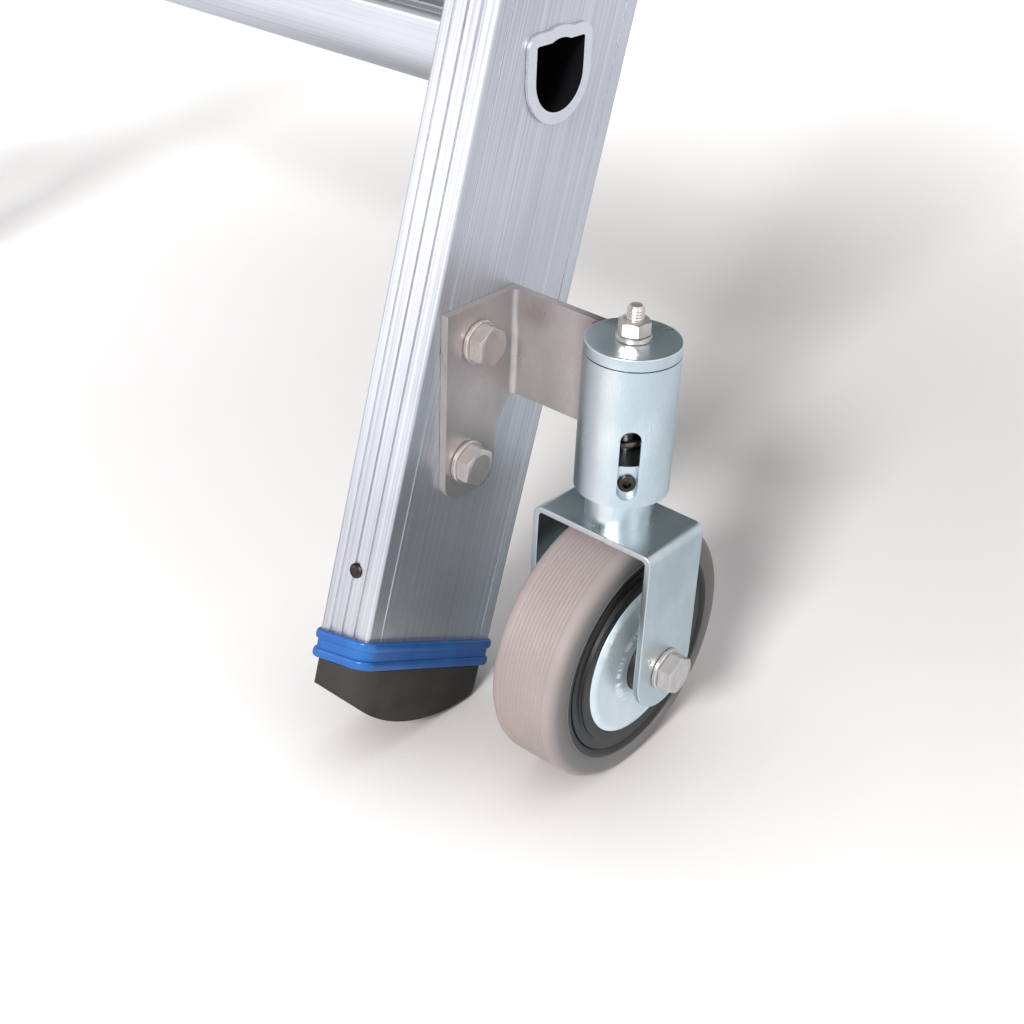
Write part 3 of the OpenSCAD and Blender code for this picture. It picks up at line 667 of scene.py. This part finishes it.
def thread(radius, low, high, pitch=1.0, depth=0.35):
    """Profile of a threaded bar: one ridge per turn, with a dome at its end."""
    points = [(0, low), (radius - depth, low)]
    turns = max(1, int((high - low) / pitch))
    for i in range(turns):
        points += [(radius, low + (i + 0.5) * pitch), (radius - depth, low + (i + 1) * pitch)]
    return points + [(radius - depth - 0.6, high + 0.3), (0, high + 0.45)]


def shape(name, *draw):
    work = bmesh.new()
    for step in draw:
        step(work)
    bmesh.ops.recalc_face_normals(work, faces=work.faces)
    return finished_mesh(work, name, 32)


def ring_profile(inner, outer, low, high, soft=0.25):
    return [
        (inner, low),
        (outer - soft, low),
        (outer, low + soft),
        (outer, high - soft),
        (outer - soft, high),
        (inner, high),
        (inner, low),
    ]


# %% [markdown]
# ## One bolt of each kind
#
# A bolt set is drawn along Z from its nut to its head, with the nut's face at zero:
# thread, nut, washer, a gap the thickness of what it holds, washer, head. Copies of it
# are placed later, so every size is given only once.

# %% Draw the bolt sets
WASHER = 1.6
PLAY = 0.1
FLATS = 1.625
NUT_HIGH = 0.8
HEAD_HIGH = 0.66


def bolt_shape(name, size, grip):
    """FLATS, NUT_HIGH and HEAD_HIGH are shares of the bolt's size; the rest is in mm."""
    head_low = grip + WASHER + 2 * PLAY
    head_high = head_low + size * HEAD_HIGH
    nut_high = -WASHER - 2 * PLAY
    nut_low = nut_high - size * NUT_HIGH
    tip = nut_low - size * 0.25 + 0.5
    shank = size / 2
    return shape(
        name,
        lambda w: spin(w, [(r, -h) for r, h in thread(shank, -nut_high - 0.5, -tip)], 32),
        lambda w: spin(w, [(shank - 0.05, nut_high), (shank - 0.05, head_low + 0.5)], 32),
        lambda w: hexagon(w, size * FLATS, nut_low, nut_high, hole=shank - 0.2, chamfer_low=True),
        lambda w: spin(w, ring_profile(shank, size, nut_high + PLAY, -PLAY)),
        lambda w: spin(w, ring_profile(shank, size, grip + PLAY, grip + PLAY + WASHER)),
        lambda w: hexagon(w, size * FLATS, head_low, head_high),
        lambda w: spin(w, [(0, head_high + 0.02), (size * 0.62, head_high + 0.02)]),
    )


def rivet_shape(name, radius, head, thick, grip, tail=True):
    shares = ((1, 0), (0.97, 0.35), (0.75, 0.8), (0.4, 1), (0, 1))
    dome = [(head * across, thick * up) for across, up in shares]
    draw = [lambda w: spin(w, [(0, grip)] + [(r, grip + h) for r, h in dome])]
    if tail:
        draw.append(lambda w: spin(w, [(0, 0)] + [(r, -h) for r, h in dome]))
    draw.append(lambda w: spin(w, [(radius, 0), (radius, grip)], 24))
    return shape(name, *draw)


BRACKET_GRIP = 26.1
FORK_HALF = 25.5
HINGE_GRIP = 29.2
bracket_bolt = bolt_shape("bracket bolt", 8, BRACKET_GRIP)
axle_bolt = bolt_shape("axle bolt", 8, 2 * FORK_HALF)
hinge_bolt = bolt_shape("hinge bolt", 10, HINGE_GRIP)
SLEEVE_HALF = FORK_HALF - 2.6
axle_sleeve = shape(
    "axle sleeve",
    lambda w: spin(w, ring_profile(4.2, 6, FORK_HALF - SLEEVE_HALF, FORK_HALF + SLEEVE_HALF), 40),
)
ROD_LOW = 110.1
UNIT_TOP = 171.4
guide_rod = shape(
    "guide rod",
    lambda w: spin(w, [(0, ROD_LOW), (2.95, ROD_LOW), (2.95, UNIT_TOP - 2)], 32),
    lambda w: spin(w, thread(3, UNIT_TOP - 2, UNIT_TOP + 11.5, 1.0, 0.3), 32),
    lambda w: spin(w, ring_profile(3.1, 6, UNIT_TOP + PLAY, UNIT_TOP + PLAY + WASHER)),
    lambda w: hexagon(
        w, 6 * FLATS, UNIT_TOP + WASHER + 0.2, UNIT_TOP + WASHER + 5.3, hole=2.8, chamfer_low=True
    ),
)
guide_screw = shape(
    "guide screw",
    lambda w: spin(w, [(3.0, 6), (3.0, 14.95), (2.7, 15.25), (1.5, 15.25), (1.3, 13.4), (0, 13.2)], 36),
)
print("bolt set faces:", len(bracket_bolt.polygons))

# %% [markdown]
# ## Copies, placed by Geometry Nodes
#
# The node group takes a cloud of points, a piece and a finish, and puts one copy of the
# piece on each point, turned by the point's own attribute. Its result is kept as a plain
# mesh, one for each body, so that each can move with the part that holds it. The first and
# last steps of a node group are functions, as the springs need them too.


# %% The node group that places copies
def new_group(name, result, sockets):
    tree = bpy.data.node_groups.new(name, "GeometryNodeTree")
    for label, kind in sockets.items():
        tree.interface.new_socket(label, in_out="INPUT", socket_type="NodeSocket" + kind)
    tree.interface.new_socket(result, in_out="OUTPUT", socket_type="NodeSocketGeometry")
    return tree, add(tree, "NodeGroupInput").outputs


def end_group(tree, result, geometry, finish):
    real = add(tree, "GeometryNodeRealizeInstances", {"Geometry": geometry}).outputs["Geometry"]
    painted = add(tree, "GeometryNodeSetMaterial", {"Geometry": real, "Material": finish})
    add(tree, "NodeGroupOutput", {result: painted.outputs["Geometry"]})
    return tree


def copies_group():
    tree, given = new_group(
        "copies on points", "Copies", {"Points": "Geometry", "Piece": "Object", "Finish": "Material"}
    )
    piece = add(tree, "GeometryNodeObjectInfo", {"Object": given["Piece"]}).outputs["Geometry"]
    turn = add(tree, "GeometryNodeInputNamedAttribute", {"Name": "turn"}, data_type="FLOAT_VECTOR")
    placed = add(
        tree,
        "GeometryNodeInstanceOnPoints",
        {"Points": given["Points"], "Instance": piece, "Rotation": turn.outputs["Attribute"]},
    )
    return end_group(tree, "Copies", placed.outputs["Instances"], given["Finish"])


COPIES = copies_group()


def run_group(holder, group, values):
    """Runs a node group on an object with the given inputs."""
    modifier = holder.modifiers.new(group.name, "NODES")
    modifier.node_group = group
    inputs = {s.name: s for s in group.interface.items_tree if s.in_out == "INPUT"}
    for label, value in values.items():
        modifier[inputs[label].identifier] = value


def plain_mesh(holder, name):
    bpy.context.view_layer.update()
    graph = bpy.context.evaluated_depsgraph_get()
    mesh = bpy.data.meshes.new_from_object(holder.evaluated_get(graph))
    mesh.name = name
    bpy.data.objects.remove(holder)
    return mesh


def place_copies(name, shape_mesh, places, finish, body, slot, *stands_for):
    points = bpy.data.meshes.new(name + " points")
    points.from_pydata([p for p, _ in places], [], [])
    turns = points.attributes.new("turn", "FLOAT_VECTOR", "POINT")
    for value, (_, turn) in zip(turns.data, places):
        value.vector = turn
    holder = new_object(name + " points", points)
    piece = new_object(name + " one", shape_mesh)
    run_group(holder, COPIES, {"Piece": piece, "Finish": finish})
    made = new_piece(name, plain_mesh(holder, name), body)
    bpy.data.objects.remove(piece)
    if stands_for:
        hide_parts(*stands_for)
    print(name, len(places), "placed")


# %% [markdown]
# ## Welds
#
# The bracket's arm is welded to the upright tube, with one bead on each face of the
# sheet. A bead is a row of small overlapping ripples, where the torch paused, so it is
# spun from a rippled profile and set into the corner of the sheet and the tube.

# %% Draw a weld bead
WELDS = ((-16.9, 1.7), (-15.7, 6.3))
WELD_LOW = 132.0
WELD_HIGH = 170.6
WELD_R = 1.7
RIPPLE = 1.3
RIPPLE_STEP = RIPPLE * 0.97


def weld_profile():
    points = [(0, WELD_LOW), (WELD_R * 0.7, WELD_LOW + 0.2)]
    for i in range(int((WELD_HIGH - WELD_LOW) / RIPPLE)):
        low = WELD_LOW + 0.4 + i * RIPPLE_STEP
        points += [(WELD_R - 0.16, low), (WELD_R, low + RIPPLE * 0.4), (WELD_R - 0.04, low + RIPPLE * 0.7)]
    return points + [(WELD_R * 0.7, WELD_HIGH - 0.1), (0, WELD_HIGH)]


# %% [markdown]
# ## Where the fasteners go
#
# The places follow from the same numbers as the solids: a few sizes of the stile, the
# castor and the hinge. Turning Z to X makes a bolt point outwards on the right side, and
# turning it the other way does the same on the left.

# %% Put the fasteners in their places
BRACKET_BOLTS = ((-0.016, 0.1574), (-0.021, 0.1124))
HINGE_BOLT_X = STILE_X - 0.0031
SLOT_TURN = math.radians(42)
GUIDE_Z = 0.1248
ROD_TURN = 0.35


def outwards(side):
    return (0, side * math.pi / 2, 0)


for end, end_name in END_NAMES.items():
    place_copies(
        "bracket_bolts_made_" + end_name,
        bracket_bolt,
        [
            ((side * STILE_X, end * (CASTOR_Y - y), z), outwards(side))
            for side in SIDE_NAMES
            for y, z in BRACKET_BOLTS
        ],
        fastener_finish,
        end_name + "_frame",
        "fastener_zinc",
        "bracket_bolts_" + end_name,
    )
place_copies(
    "hinge_bolts_made",
    hinge_bolt,
    [((side * HINGE_BOLT_X, 0, HINGE_Z), outwards(side)) for side in SIDE_NAMES],
    fastener_finish,
    "front_frame",
    "fastener_zinc",
    "hinge_bolts",
)
for corner, side, end in CORNERS:
    axis = Vector((side * CASTOR_X, end * CASTOR_Y, 0))
    slot_angle = math.atan2(end * math.cos(SLOT_TURN), side * math.sin(SLOT_TURN))
    guide = [(axis + Vector((0, 0, GUIDE_Z)), (0, math.pi / 2, slot_angle))]
    rod = [(axis, (0, 0, ROD_TURN))]
    axle = [(axis + Vector((-side * FORK_HALF * MM, 0, AXLE_Z)), outwards(side))]
    castor = "castor_" + corner
    zinc = (fastener_finish, castor, "fastener_zinc")
    place_copies("guide_screw_" + corner, guide_screw, guide, screw_finish, castor, "spring_steel")
    place_copies("guide_rod_" + corner, guide_rod, rod, *zinc)
    work = bmesh.new()
    for x, y in WELDS:
        spin(work, weld_profile(), 14, axis + Vector((side * x * MM, -end * y * MM, 0)))
    bmesh.ops.recalc_face_normals(work, faces=work.faces)
    weld_name = "weld_" + corner
    weld_mesh = finished_mesh(work, weld_name)
    new_piece(weld_name, weld_mesh, END_NAMES[end] + "_frame", weld_finish)
    place_copies("axle_sleeve_" + corner, axle_sleeve, axle, *zinc)
    place_copies("axle_bolt_" + corner, axle_bolt, axle, *zinc, "castor_fasteners_" + corner)

# %% [markdown]
# ## Collars
#
# The blue collar of a foot is a moulded band with two rounded ribs. It lies on a slope, so
# each of its outlines is drawn flat and then lifted onto that slope. The rows go up the
# outside, in over the top, down along the stile and up again round the plug inside it.

# %% Draw the collars
STILE_W = 23.0
STILE_D = 74.0
STILE_CORNER = 1.2
COLLAR_OUT = 2.5
COLLAR_GROOVE = 0.8
COLLAR_LOW = 27.0
COLLAR_HIGH = 38.0
COLLAR_SEAT = COLLAR_LOW + 2.9
COLLAR_PLAY = 0.2
COLLAR_CORNER = 6.0
COLLAR_SLOPE = math.tan(math.radians(11))
COLLAR_SLANT = math.tan(math.radians(11)) / math.cos(math.radians(11))
PLUG_W = 19.0
PLUG_D = 70.0
PLUG_TOP = 78.0
PLUG_CORNER = 1.0
CORNER_STEPS = 10
RIB_STEPS = 12
RIB_BULGE = 0.55


def on_stile(end, across, along):
    """y and z of a point given across and along the stile, both in metres."""
    y = -STILE_FOOT_Y + across * math.cos(LEAN) + along * math.sin(LEAN)
    return -end * y, -across * math.sin(LEAN) + along * math.cos(LEAN)


def rounded_outline(width, depth, radius):
    points = []
    for quarter, (sx, sy) in enumerate(((1, 1), (-1, 1), (-1, -1), (1, -1))):
        for i in range(CORNER_STEPS + 1):
            turn = math.pi / 2 * (quarter + i / CORNER_STEPS)
            points.append(
                (
                    sx * (width / 2 - radius) + radius * math.cos(turn),
                    sy * (depth / 2 - radius) + radius * math.sin(turn),
                )
            )
    return points


def collar_rows():
    """The rows from the bottom up, over and round the plug. Each is the width, depth and
    corner radius of an outline, its height along the stile, and whether it is sloped."""
    third = (COLLAR_HIGH - COLLAR_LOW) / 3
    rows = []
    for low in (COLLAR_LOW, COLLAR_LOW + 2 * third):
        for i in range(RIB_STEPS + 1):
            turn = math.pi * i / RIB_STEPS
            out = COLLAR_OUT - COLLAR_GROOVE * (1 - math.sin(turn) ** RIB_BULGE)
            up = low + third / 2 * (1 - math.cos(turn))
            rows.append((STILE_W + 2 * out, STILE_D + 2 * out, COLLAR_CORNER, up, True))
    for up in (COLLAR_HIGH, COLLAR_SEAT):
        rows.append((STILE_W + COLLAR_PLAY, STILE_D + COLLAR_PLAY, STILE_CORNER, up, True))
    for up, sloped in ((COLLAR_SEAT, True), (PLUG_TOP, False)):
        rows.append((PLUG_W, PLUG_D, PLUG_CORNER, up, sloped))
    return rows


def collar_mesh(name, end):
    work = bmesh.new()
    for side in SIDE_NAMES:
        rows = []
        for width, depth, radius, up, sloped in collar_rows():
            row = []
            for x, y in rounded_outline(width, depth, radius):
                along = up + x * COLLAR_SLOPE - y * COLLAR_SLANT if sloped else up
                place = (side * STILE_MIDDLE_X + side * x * MM, *on_stile(end, y * MM, along * MM))
                row.append(work.verts.new(place))
            rows.append(row)
        bridge(work, rows)
        work.faces.new(rows[0])
        work.faces.new(rows[-1])
    bmesh.ops.recalc_face_normals(work, faces=work.faces)
    return finished_mesh(work, name, 40)


for end, end_name in END_NAMES.items():
    collar_name = "collar_ribbed_" + end_name
    collar = new_piece(
        collar_name,
        collar_mesh(collar_name, end),
        end_name + "_frame",
        collar_finish,
    )
    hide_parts("foot_collars_" + end_name)
    print(collar_name, len(collar.data.polygons), "faces")

# %% [markdown]
# ## Rivets
#
# Each stile has three kinds: a small one through its outward flange into the foot, three
# at the hinge, and a large-headed one that holds the webbing. They are low domes, spun
# like the bolts and placed by the same node group.

# %% Set the rivets
# For each end: how thick the riveted stack is in mm, its x, and the step between rivets.
HINGE_RIVETS = {-1: (29.4, 0.2218, 0.04223), 1: (23.2, 0.2249, 0.02178)}
HINGE_RIVET_LOW = 2.03227
STAY_Z = 0.660
STAY_Y = STILE_FOOT_Y - STAY_Z * math.tan(LEAN)
STAY_RIVET_X = 0.2269
FOOT_RIVET_PLACE = (-0.0371, 0.071)
UP_FLANGE = math.pi / 2 - LEAN
stay_rivet = rivet_shape("stay rivet", 2.9, 8.5, 1.8, 3.9, tail=False)
foot_rivet = rivet_shape("foot rivet", 1.9, 2.8, 0.8, 0.1, tail=False)
for end, end_name in END_NAMES.items():
    grip, hinge_x, step = HINGE_RIVETS[end]
    hinge_rivet = rivet_shape("hinge rivet " + end_name, 2.9, 5.5, 1.8, grip)
    hinge_places = [
        ((side * hinge_x, *on_stile(end, 0, HINGE_RIVET_LOW + i * step)), outwards(side))
        for side in SIDE_NAMES
        for i in range(3)
    ]
    foot_places = [
        ((side * STILE_MIDDLE_X, *on_stile(end, *FOOT_RIVET_PLACE)), (-end * UP_FLANGE, 0, 0))
        for side in SIDE_NAMES
    ]
    stay_places = [((side * STAY_RIVET_X, end * STAY_Y, STAY_Z), outwards(-side)) for side in SIDE_NAMES]
    for kind, rivet, places, finish, *stands_for in (
        ("hinge", hinge_rivet, hinge_places, rivet_finish),
        ("foot", foot_rivet, foot_places, screw_finish),
        ("stay", stay_rivet, stay_places, rivet_finish, "frame_rivets_" + end_name),
    ):
        rivets_name = f"{kind}_rivets_{end_name}"
        place_copies(rivets_name, rivet, places, finish, end_name + "_frame", "rivet_alu", *stands_for)

# %% [markdown]
# ## Tyres
#
# A tyre is spun too. Its tread has fine ridges round it, a millimetre and a half
# apart and a quarter of a millimetre deep, and its shoulders are rounded. A value kept
# on its points marks the sidewalls, which are painted a darker grey as shade, apart from
# the tread. The bead, where the rubber meets the rim, is as dark as the rim.

# %% Spin the tyres
WHEEL_R = 50.0
RIM_R = 38.0
TYRE_BEAD_R = 41.0
TYRE_HALF = 14.5
SHOULDER = 4.5
SHOULDER_STEPS = 8
RIDGE = 1.5
RIDGE_DEEP = 0.28
TYRE_STEPS = 180
SHADE_FADES_FROM = 46.5
SHADE_FADES_OVER = 3.0


def tyre_profile():
    wall = -TYRE_HALF
    edge = [(RIM_R, wall + 1.2), (RIM_R + 0.8, wall + 0.4), (RIM_R + 2.2, wall)]
    edge += [(TYRE_BEAD_R, wall), (TYRE_BEAD_R + 0.3, wall + 0.25), (TYRE_BEAD_R + 0.6, wall)]
    edge.append((WHEEL_R - SHOULDER, wall))
    flat = TYRE_HALF - SHOULDER
    for i in range(1, SHOULDER_STEPS + 1):
        turn = math.pi / 2 * i / SHOULDER_STEPS
        edge.append((WHEEL_R - SHOULDER + SHOULDER * math.sin(turn), -flat - SHOULDER * math.cos(turn)))
    count = int(2 * flat / RIDGE)
    groove = ((0.25, 0), (0.5, RIDGE_DEEP), (0.8, RIDGE_DEEP), (1.05, 0))
    tread = [
        (WHEEL_R - deep, -count * RIDGE / 2 + i * RIDGE + x) for i in range(count) for x, deep in groove
    ]
    return edge + tread + [(r, -x) for r, x in reversed(edge)]


def turned_tyre(name, middle):
    def from_axle(point):
        return (Vector((0, point.y, point.z)) - Vector((0, middle[1], middle[2]))).length / MM

    work = bmesh.new()
    spin(work, tyre_profile(), TYRE_STEPS)
    bmesh.ops.recalc_face_normals(work, faces=work.faces)
    work.transform(Matrix.Translation(middle) @ Matrix.Rotation(math.pi / 2, 4, "Y"))
    mesh = finished_mesh(work, name, 50)
    # painted shade mask: 0 on the sidewalls, rising to 1 over the shoulders to the tread
    tread_unshaded = mesh.attributes.new("tread_unshaded", "FLOAT", "POINT")
    for value, vertex in zip(tread_unshaded.data, mesh.vertices):
        value.value = min(1.0, max(0.0, (from_axle(vertex.co) - SHADE_FADES_FROM) / SHADE_FADES_OVER))
    mesh.materials.append(tyre_finish)
    mesh.materials.append(rim_finish)
    for face in mesh.polygons:
        face.material_index = int(from_axle(face.center) < TYRE_BEAD_R + 0.1)
    return mesh


for corner, side, end in CORNERS:
    tyre_name = "tyre_turned_" + corner
    tyre_mesh = turned_tyre(tyre_name, (side * CASTOR_X, end * CASTOR_Y, AXLE_Z))
    tyre = new_piece(tyre_name, tyre_mesh, "wheel_" + corner)
    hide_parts("tyre_" + corner)
print("tyre faces:", len(tyre_mesh.polygons))

# %% [markdown]
# ## Springs
#
# A spring is one length of wire on a spiral path, so Geometry Nodes draws the path and
# sweeps the wire's round section along it.


# %% Wind the springs
def spring_group():
    numbers = dict.fromkeys(("Curls", "Coil radius", "Wire radius", "Length"), "Float")
    tree, given = new_group("coil spring", "Spring", {**numbers, "Foot": "Vector", "Finish": "Material"})
    path = add(
        tree,
        "GeometryNodeCurveSpiral",
        {
            "Resolution": 40,
            "Rotations": given["Curls"],
            "Start Radius": given["Coil radius"],
            "End Radius": given["Coil radius"],
            "Height": given["Length"],
            "Reverse": True,
        },
    ).outputs["Curve"]
    placed = add(tree, "GeometryNodeTransform", {"Geometry": path, "Translation": given["Foot"]})
    section = add(
        tree, "GeometryNodeCurvePrimitiveCircle", {"Resolution": 14, "Radius": given["Wire radius"]}
    )
    sweep = {
        "Curve": placed.outputs["Geometry"],
        "Profile Curve": section.outputs["Curve"],
        "Fill Caps": True,
    }
    wire = add(tree, "GeometryNodeCurveToMesh", sweep).outputs["Mesh"]
    smooth = add(tree, "GeometryNodeSetShadeSmooth", {"Geometry": wire}).outputs["Geometry"]
    return end_group(tree, "Spring", smooth, given["Finish"])


SPRING = spring_group()
SPRING_LOW = 0.1323
SPRING_HIGH = 0.1626
for corner, side, end in CORNERS:
    holder = new_object("spring start", bpy.data.meshes.new("spring start"))
    winding = {
        "Curls": 6.0,
        "Coil radius": 9.0 * MM,
        "Wire radius": 1.2 * MM,
        "Length": SPRING_HIGH - SPRING_LOW,
        "Foot": (side * CASTOR_X, end * CASTOR_Y, SPRING_LOW),
        "Finish": spring_finish,
    }
    run_group(holder, SPRING, winding)
    spring_name = "spring_wound_" + corner
    spring = new_piece(
        spring_name, plain_mesh(holder, spring_name), END_NAMES[end] + "_frame"
    )
    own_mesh(spring)
    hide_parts("castor_spring_" + corner)
print("spring faces:", len(spring.data.polygons))

# %% [markdown]
# ## Webbing stays
#
# A webbing strap is flat woven tape. It stops the frames from spreading, so it is nearly
# taut while the ladder stands open. On the real ladder it bends between the two frames as
# they fold; here it is one fixed mesh, with many short steps along the tape.

# %% Lay the webbing
STRAP_HALF_WIDE = 12.5 * MM
STRAP_HALF_THICK = 0.85 * MM
STRAP_THINNING = 0.55
STRAP_BOW = 6 * MM
STRAP_REACH = STAY_Y + 0.015
STRAP_X = STILE_X - 1.0 * MM
STRAP_STEPS = 240
STRAP_ROWS = 12


def strap_mesh(name, side):
    """A flat tape whose edges thin out. It bows a little inwards at its middle."""
    half = []
    for j in range(STRAP_ROWS + 1):
        across = -1 + 2 * j / STRAP_ROWS
        half.append((across, STRAP_HALF_THICK * (1 - STRAP_THINNING * abs(across) ** 8)))
    section = [(a, -h) for a, h in half] + [(a, h) for a, h in reversed(half)]
    work = bmesh.new()
    rings = []
    for i in range(STRAP_STEPS + 1):
        y = -STRAP_REACH + 2 * STRAP_REACH * i / STRAP_STEPS
        x = STRAP_X - STRAP_BOW * math.cos(math.pi * y / (2 * STRAP_REACH)) ** 2
        rings.append([work.verts.new((side * (x + h), y, STAY_Z + a * STRAP_HALF_WIDE)) for a, h in section])
    bridge(work, rings)
    work.faces.new(rings[0])
    work.faces.new(rings[-1])
    bmesh.ops.recalc_face_normals(work, faces=work.faces)
    return finished_mesh(work, name, 60)


for side, side_name in SIDE_NAMES.items():
    strap_name = "webbing_" + side_name
    strap = new_object(strap_name, strap_mesh(strap_name, side))
    strap.data.materials.append(webbing_finish)
    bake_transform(strap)
    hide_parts("stay_strap_" + side_name)
    print(strap_name, len(strap.data.polygons), "faces")

# %% [markdown]
# ## Floor and light
#
# The photograph is a cut-out on white. Its main light comes from the front right and from
# above, and leaves a soft shadow behind the castor. The floor is a pale plane that also
# glows for the camera, more so the further it lies from that shadow, and less where
# something stands close to it. That makes it fade to white and keeps the shadows.
#
# Metal mirrors another floor: pale and dark cards that stand round the front right castor,
# as they would in a photographer's studio. They draw the bands along its housing.

# %% Paint and lay the floor
FLOOR_HALF = 9.0
FLOOR_PALE = "#F4F3F2"
FLOOR_CONTACT_SHADOW = "#C8C2BE"
CONTACT_REACH = 0.09
SHADOW_MIDDLE = (CASTOR_X - 0.10, -CASTOR_Y + 0.28, 0)
NEAR_GLOW = {"low": 0.03, "high": 0.62, "low_in": 0.05, "high_in": 0.8}
FAR_GLOW = {"low": 0.0, "high": 0.4, "low_in": 1.4, "high_in": 4.0}
CARD_LIGHT = 1.55
CARDS_FROM = 0.28
CARDS_TO = 0.5
BEYOND_CARDS = "#C9CCD2"
CARDS = (
    (0.00, (0.20, 0.21, 0.20)),
    (0.08, (0.24, 0.22, 0.21)),
    (0.135, (0.56, 0.48, 0.46)),
    (0.19, (0.95, 0.88, 0.86)),
    (0.25, (1.00, 0.98, 0.97)),
    (0.31, (0.74, 0.79, 0.82)),
    (0.42, (0.70, 0.76, 0.79)),
    (0.56, (0.54, 0.57, 0.60)),
    (0.70, (0.40, 0.43, 0.45)),
    (0.82, (0.16, 0.19, 0.19)),
)


def floor_paint():
    finish = new_finish("floor_paint", Roughness=0.9, Specular_IOR_Level=0.0)
    tree = finish.node_tree
    paint = tree.nodes["Principled BSDF"]
    place = add(tree, "ShaderNodeTexCoord").outputs["Object"]
    rays = add(tree, "ShaderNodeLightPath").outputs
    open_air = add(tree, "ShaderNodeAmbientOcclusion", {"Distance": CONTACT_REACH}, samples=8).outputs["AO"]
    # painted contact shadow: the floor's colour darkens where something stands close to it
    contact = spread(finish, open_air, 0.0, 1.0, 0.2, 0.95)
    tree.links.new(blend_colours(finish, contact, FLOOR_CONTACT_SHADOW, FLOOR_PALE), paint.inputs["Base Color"])

    from_shadow = vector_step(tree, "SUBTRACT", place, SHADOW_MIDDLE)
    far_off = vector_step(tree, "LENGTH", from_shadow, result="Value")
    glows = [spread(finish, far_off, curve="SMOOTHSTEP", **limits) for limits in (NEAR_GLOW, FAR_GLOW)]
    white = number_step(tree, "MULTIPLY", number_step(tree, "ADD", *glows), open_air)
    seen = number_step(tree, "MAXIMUM", rays["Is Camera Ray"], rays["Is Transmission Ray"])
    strength = number_step(tree, "MULTIPLY", white, seen)
    glow = add(tree, "ShaderNodeEmission", {"Color": linear("#FFFFFF"), "Strength": strength})
    glowing = add(tree, "ShaderNodeAddShader", {0: paint.outputs["BSDF"], 1: glow.outputs["Emission"]})

    from_castor = vector_step(tree, "SUBTRACT", place, (CASTOR_X, -CASTOR_Y, 0))
    compass = add(tree, "ShaderNodeTexGradient", {"Vector": from_castor}, gradient_type="RADIAL")
    cards = add(tree, "ShaderNodeValToRGB", {"Fac": compass.outputs["Fac"]})
    stops = cards.color_ramp.elements
    while len(stops) < len(CARDS):
        stops.new(1.0)
    for stop, (position, colour) in zip(stops, CARDS):
        stop.position = position
        stop.color = (*colour, 1.0)
    reach = vector_step(tree, "LENGTH", from_castor, result="Value")
    beyond = spread(finish, reach, 0, 1, CARDS_FROM, CARDS_TO)
    pale = blend_colours(finish, beyond, cards.outputs["Color"], BEYOND_CARDS)
    mirrored = add(tree, "ShaderNodeEmission", {"Color": pale, "Strength": CARD_LIGHT})
    either = add(
        tree,
        "ShaderNodeMixShader",
        {0: rays["Is Glossy Ray"], 1: glowing.outputs["Shader"], 2: mirrored.outputs["Emission"]},
    )
    tree.links.new(either.outputs["Shader"], tree.nodes["Material Output"].inputs["Surface"])
    return finish


floor_mesh = bpy.data.meshes.new("floor")
floor_corners = [(x * FLOOR_HALF, y * FLOOR_HALF, 0) for x, y in ((-1, -1), (1, -1), (1, 1), (-1, 1))]
floor_mesh.from_pydata(floor_corners, [], [(0, 1, 2, 3)])
floor_mesh.materials.append(floor_paint())
floor = new_object("floor", floor_mesh)
print("floor", 2 * FLOOR_HALF, "m wide, with", len(CARDS), "tones of card")


# %% Hang the lamps
def lamp(name, place, aim, size, watts):
    data = bpy.data.lights.new(name, "AREA")
    data.shape = "DISK"
    data.size = size
    data.energy = watts
    holder = new_object(name, data)
    holder.location = place
    holder.rotation_euler = (Vector(aim) - Vector(place)).to_track_quat("-Z", "Y").to_euler()
    print("lamp", name, watts, "W")


lamp("key", (1.1, -3.7, 2.15), (0.25, -0.4, 0.3), 0.9, 150)
lamp("fill", (-3.4, -1.2, 2.4), (0.0, 0.0, 0.6), 2.6, 14)
lamp("front", (-2.2, -3.5, 0.5), (0.2, -0.5, 0.2), 2.0, 25)
lamp("side", (3.6, -0.6, 2.0), (0.0, 0.0, 0.6), 2.2, 12)

# %% [markdown]
# ## The world
#
# The camera sees a white world. What lights the ladder is much dimmer, and what metal
# mirrors is white low down and to the right but dark overhead, as the tops of the plated
# parts show in the photograph.

# %% Paint the world
WHITE = "#FFFFFF"
SOFT_WHITE = (0.24, 0.228, 0.222, 1.0)
CEILING = (0.055, 0.082, 0.086, 1.0)
world = bpy.data.worlds.new("studio")
bpy.context.scene.world = world
world.use_nodes = True
sky = world.node_tree
direction = add(sky, "ShaderNodeTexCoord").outputs["Generated"]
heading = add(sky, "ShaderNodeSeparateXYZ", {"Vector": direction}).outputs
overhead = spread(world, heading["Z"], 0, 1, 0.12, 0.34, curve="SMOOTHSTEP")
beside = spread(world, heading["X"], 0, 1, 0.15, 0.4, curve="SMOOTHSTEP")
rays = add(sky, "ShaderNodeLightPath").outputs
mirrored = blend_colours(world, beside, blend_colours(world, overhead, WHITE, CEILING), WHITE)
lit = blend_colours(world, rays["Is Glossy Ray"], SOFT_WHITE, mirrored)
shown = number_step(sky, "MAXIMUM", rays["Is Camera Ray"], rays["Is Transmission Ray"])
sky.links.new(blend_colours(world, shown, lit, WHITE), sky.nodes["Background"].inputs["Color"])
bpy.context.scene.view_settings.view_transform = "Standard"
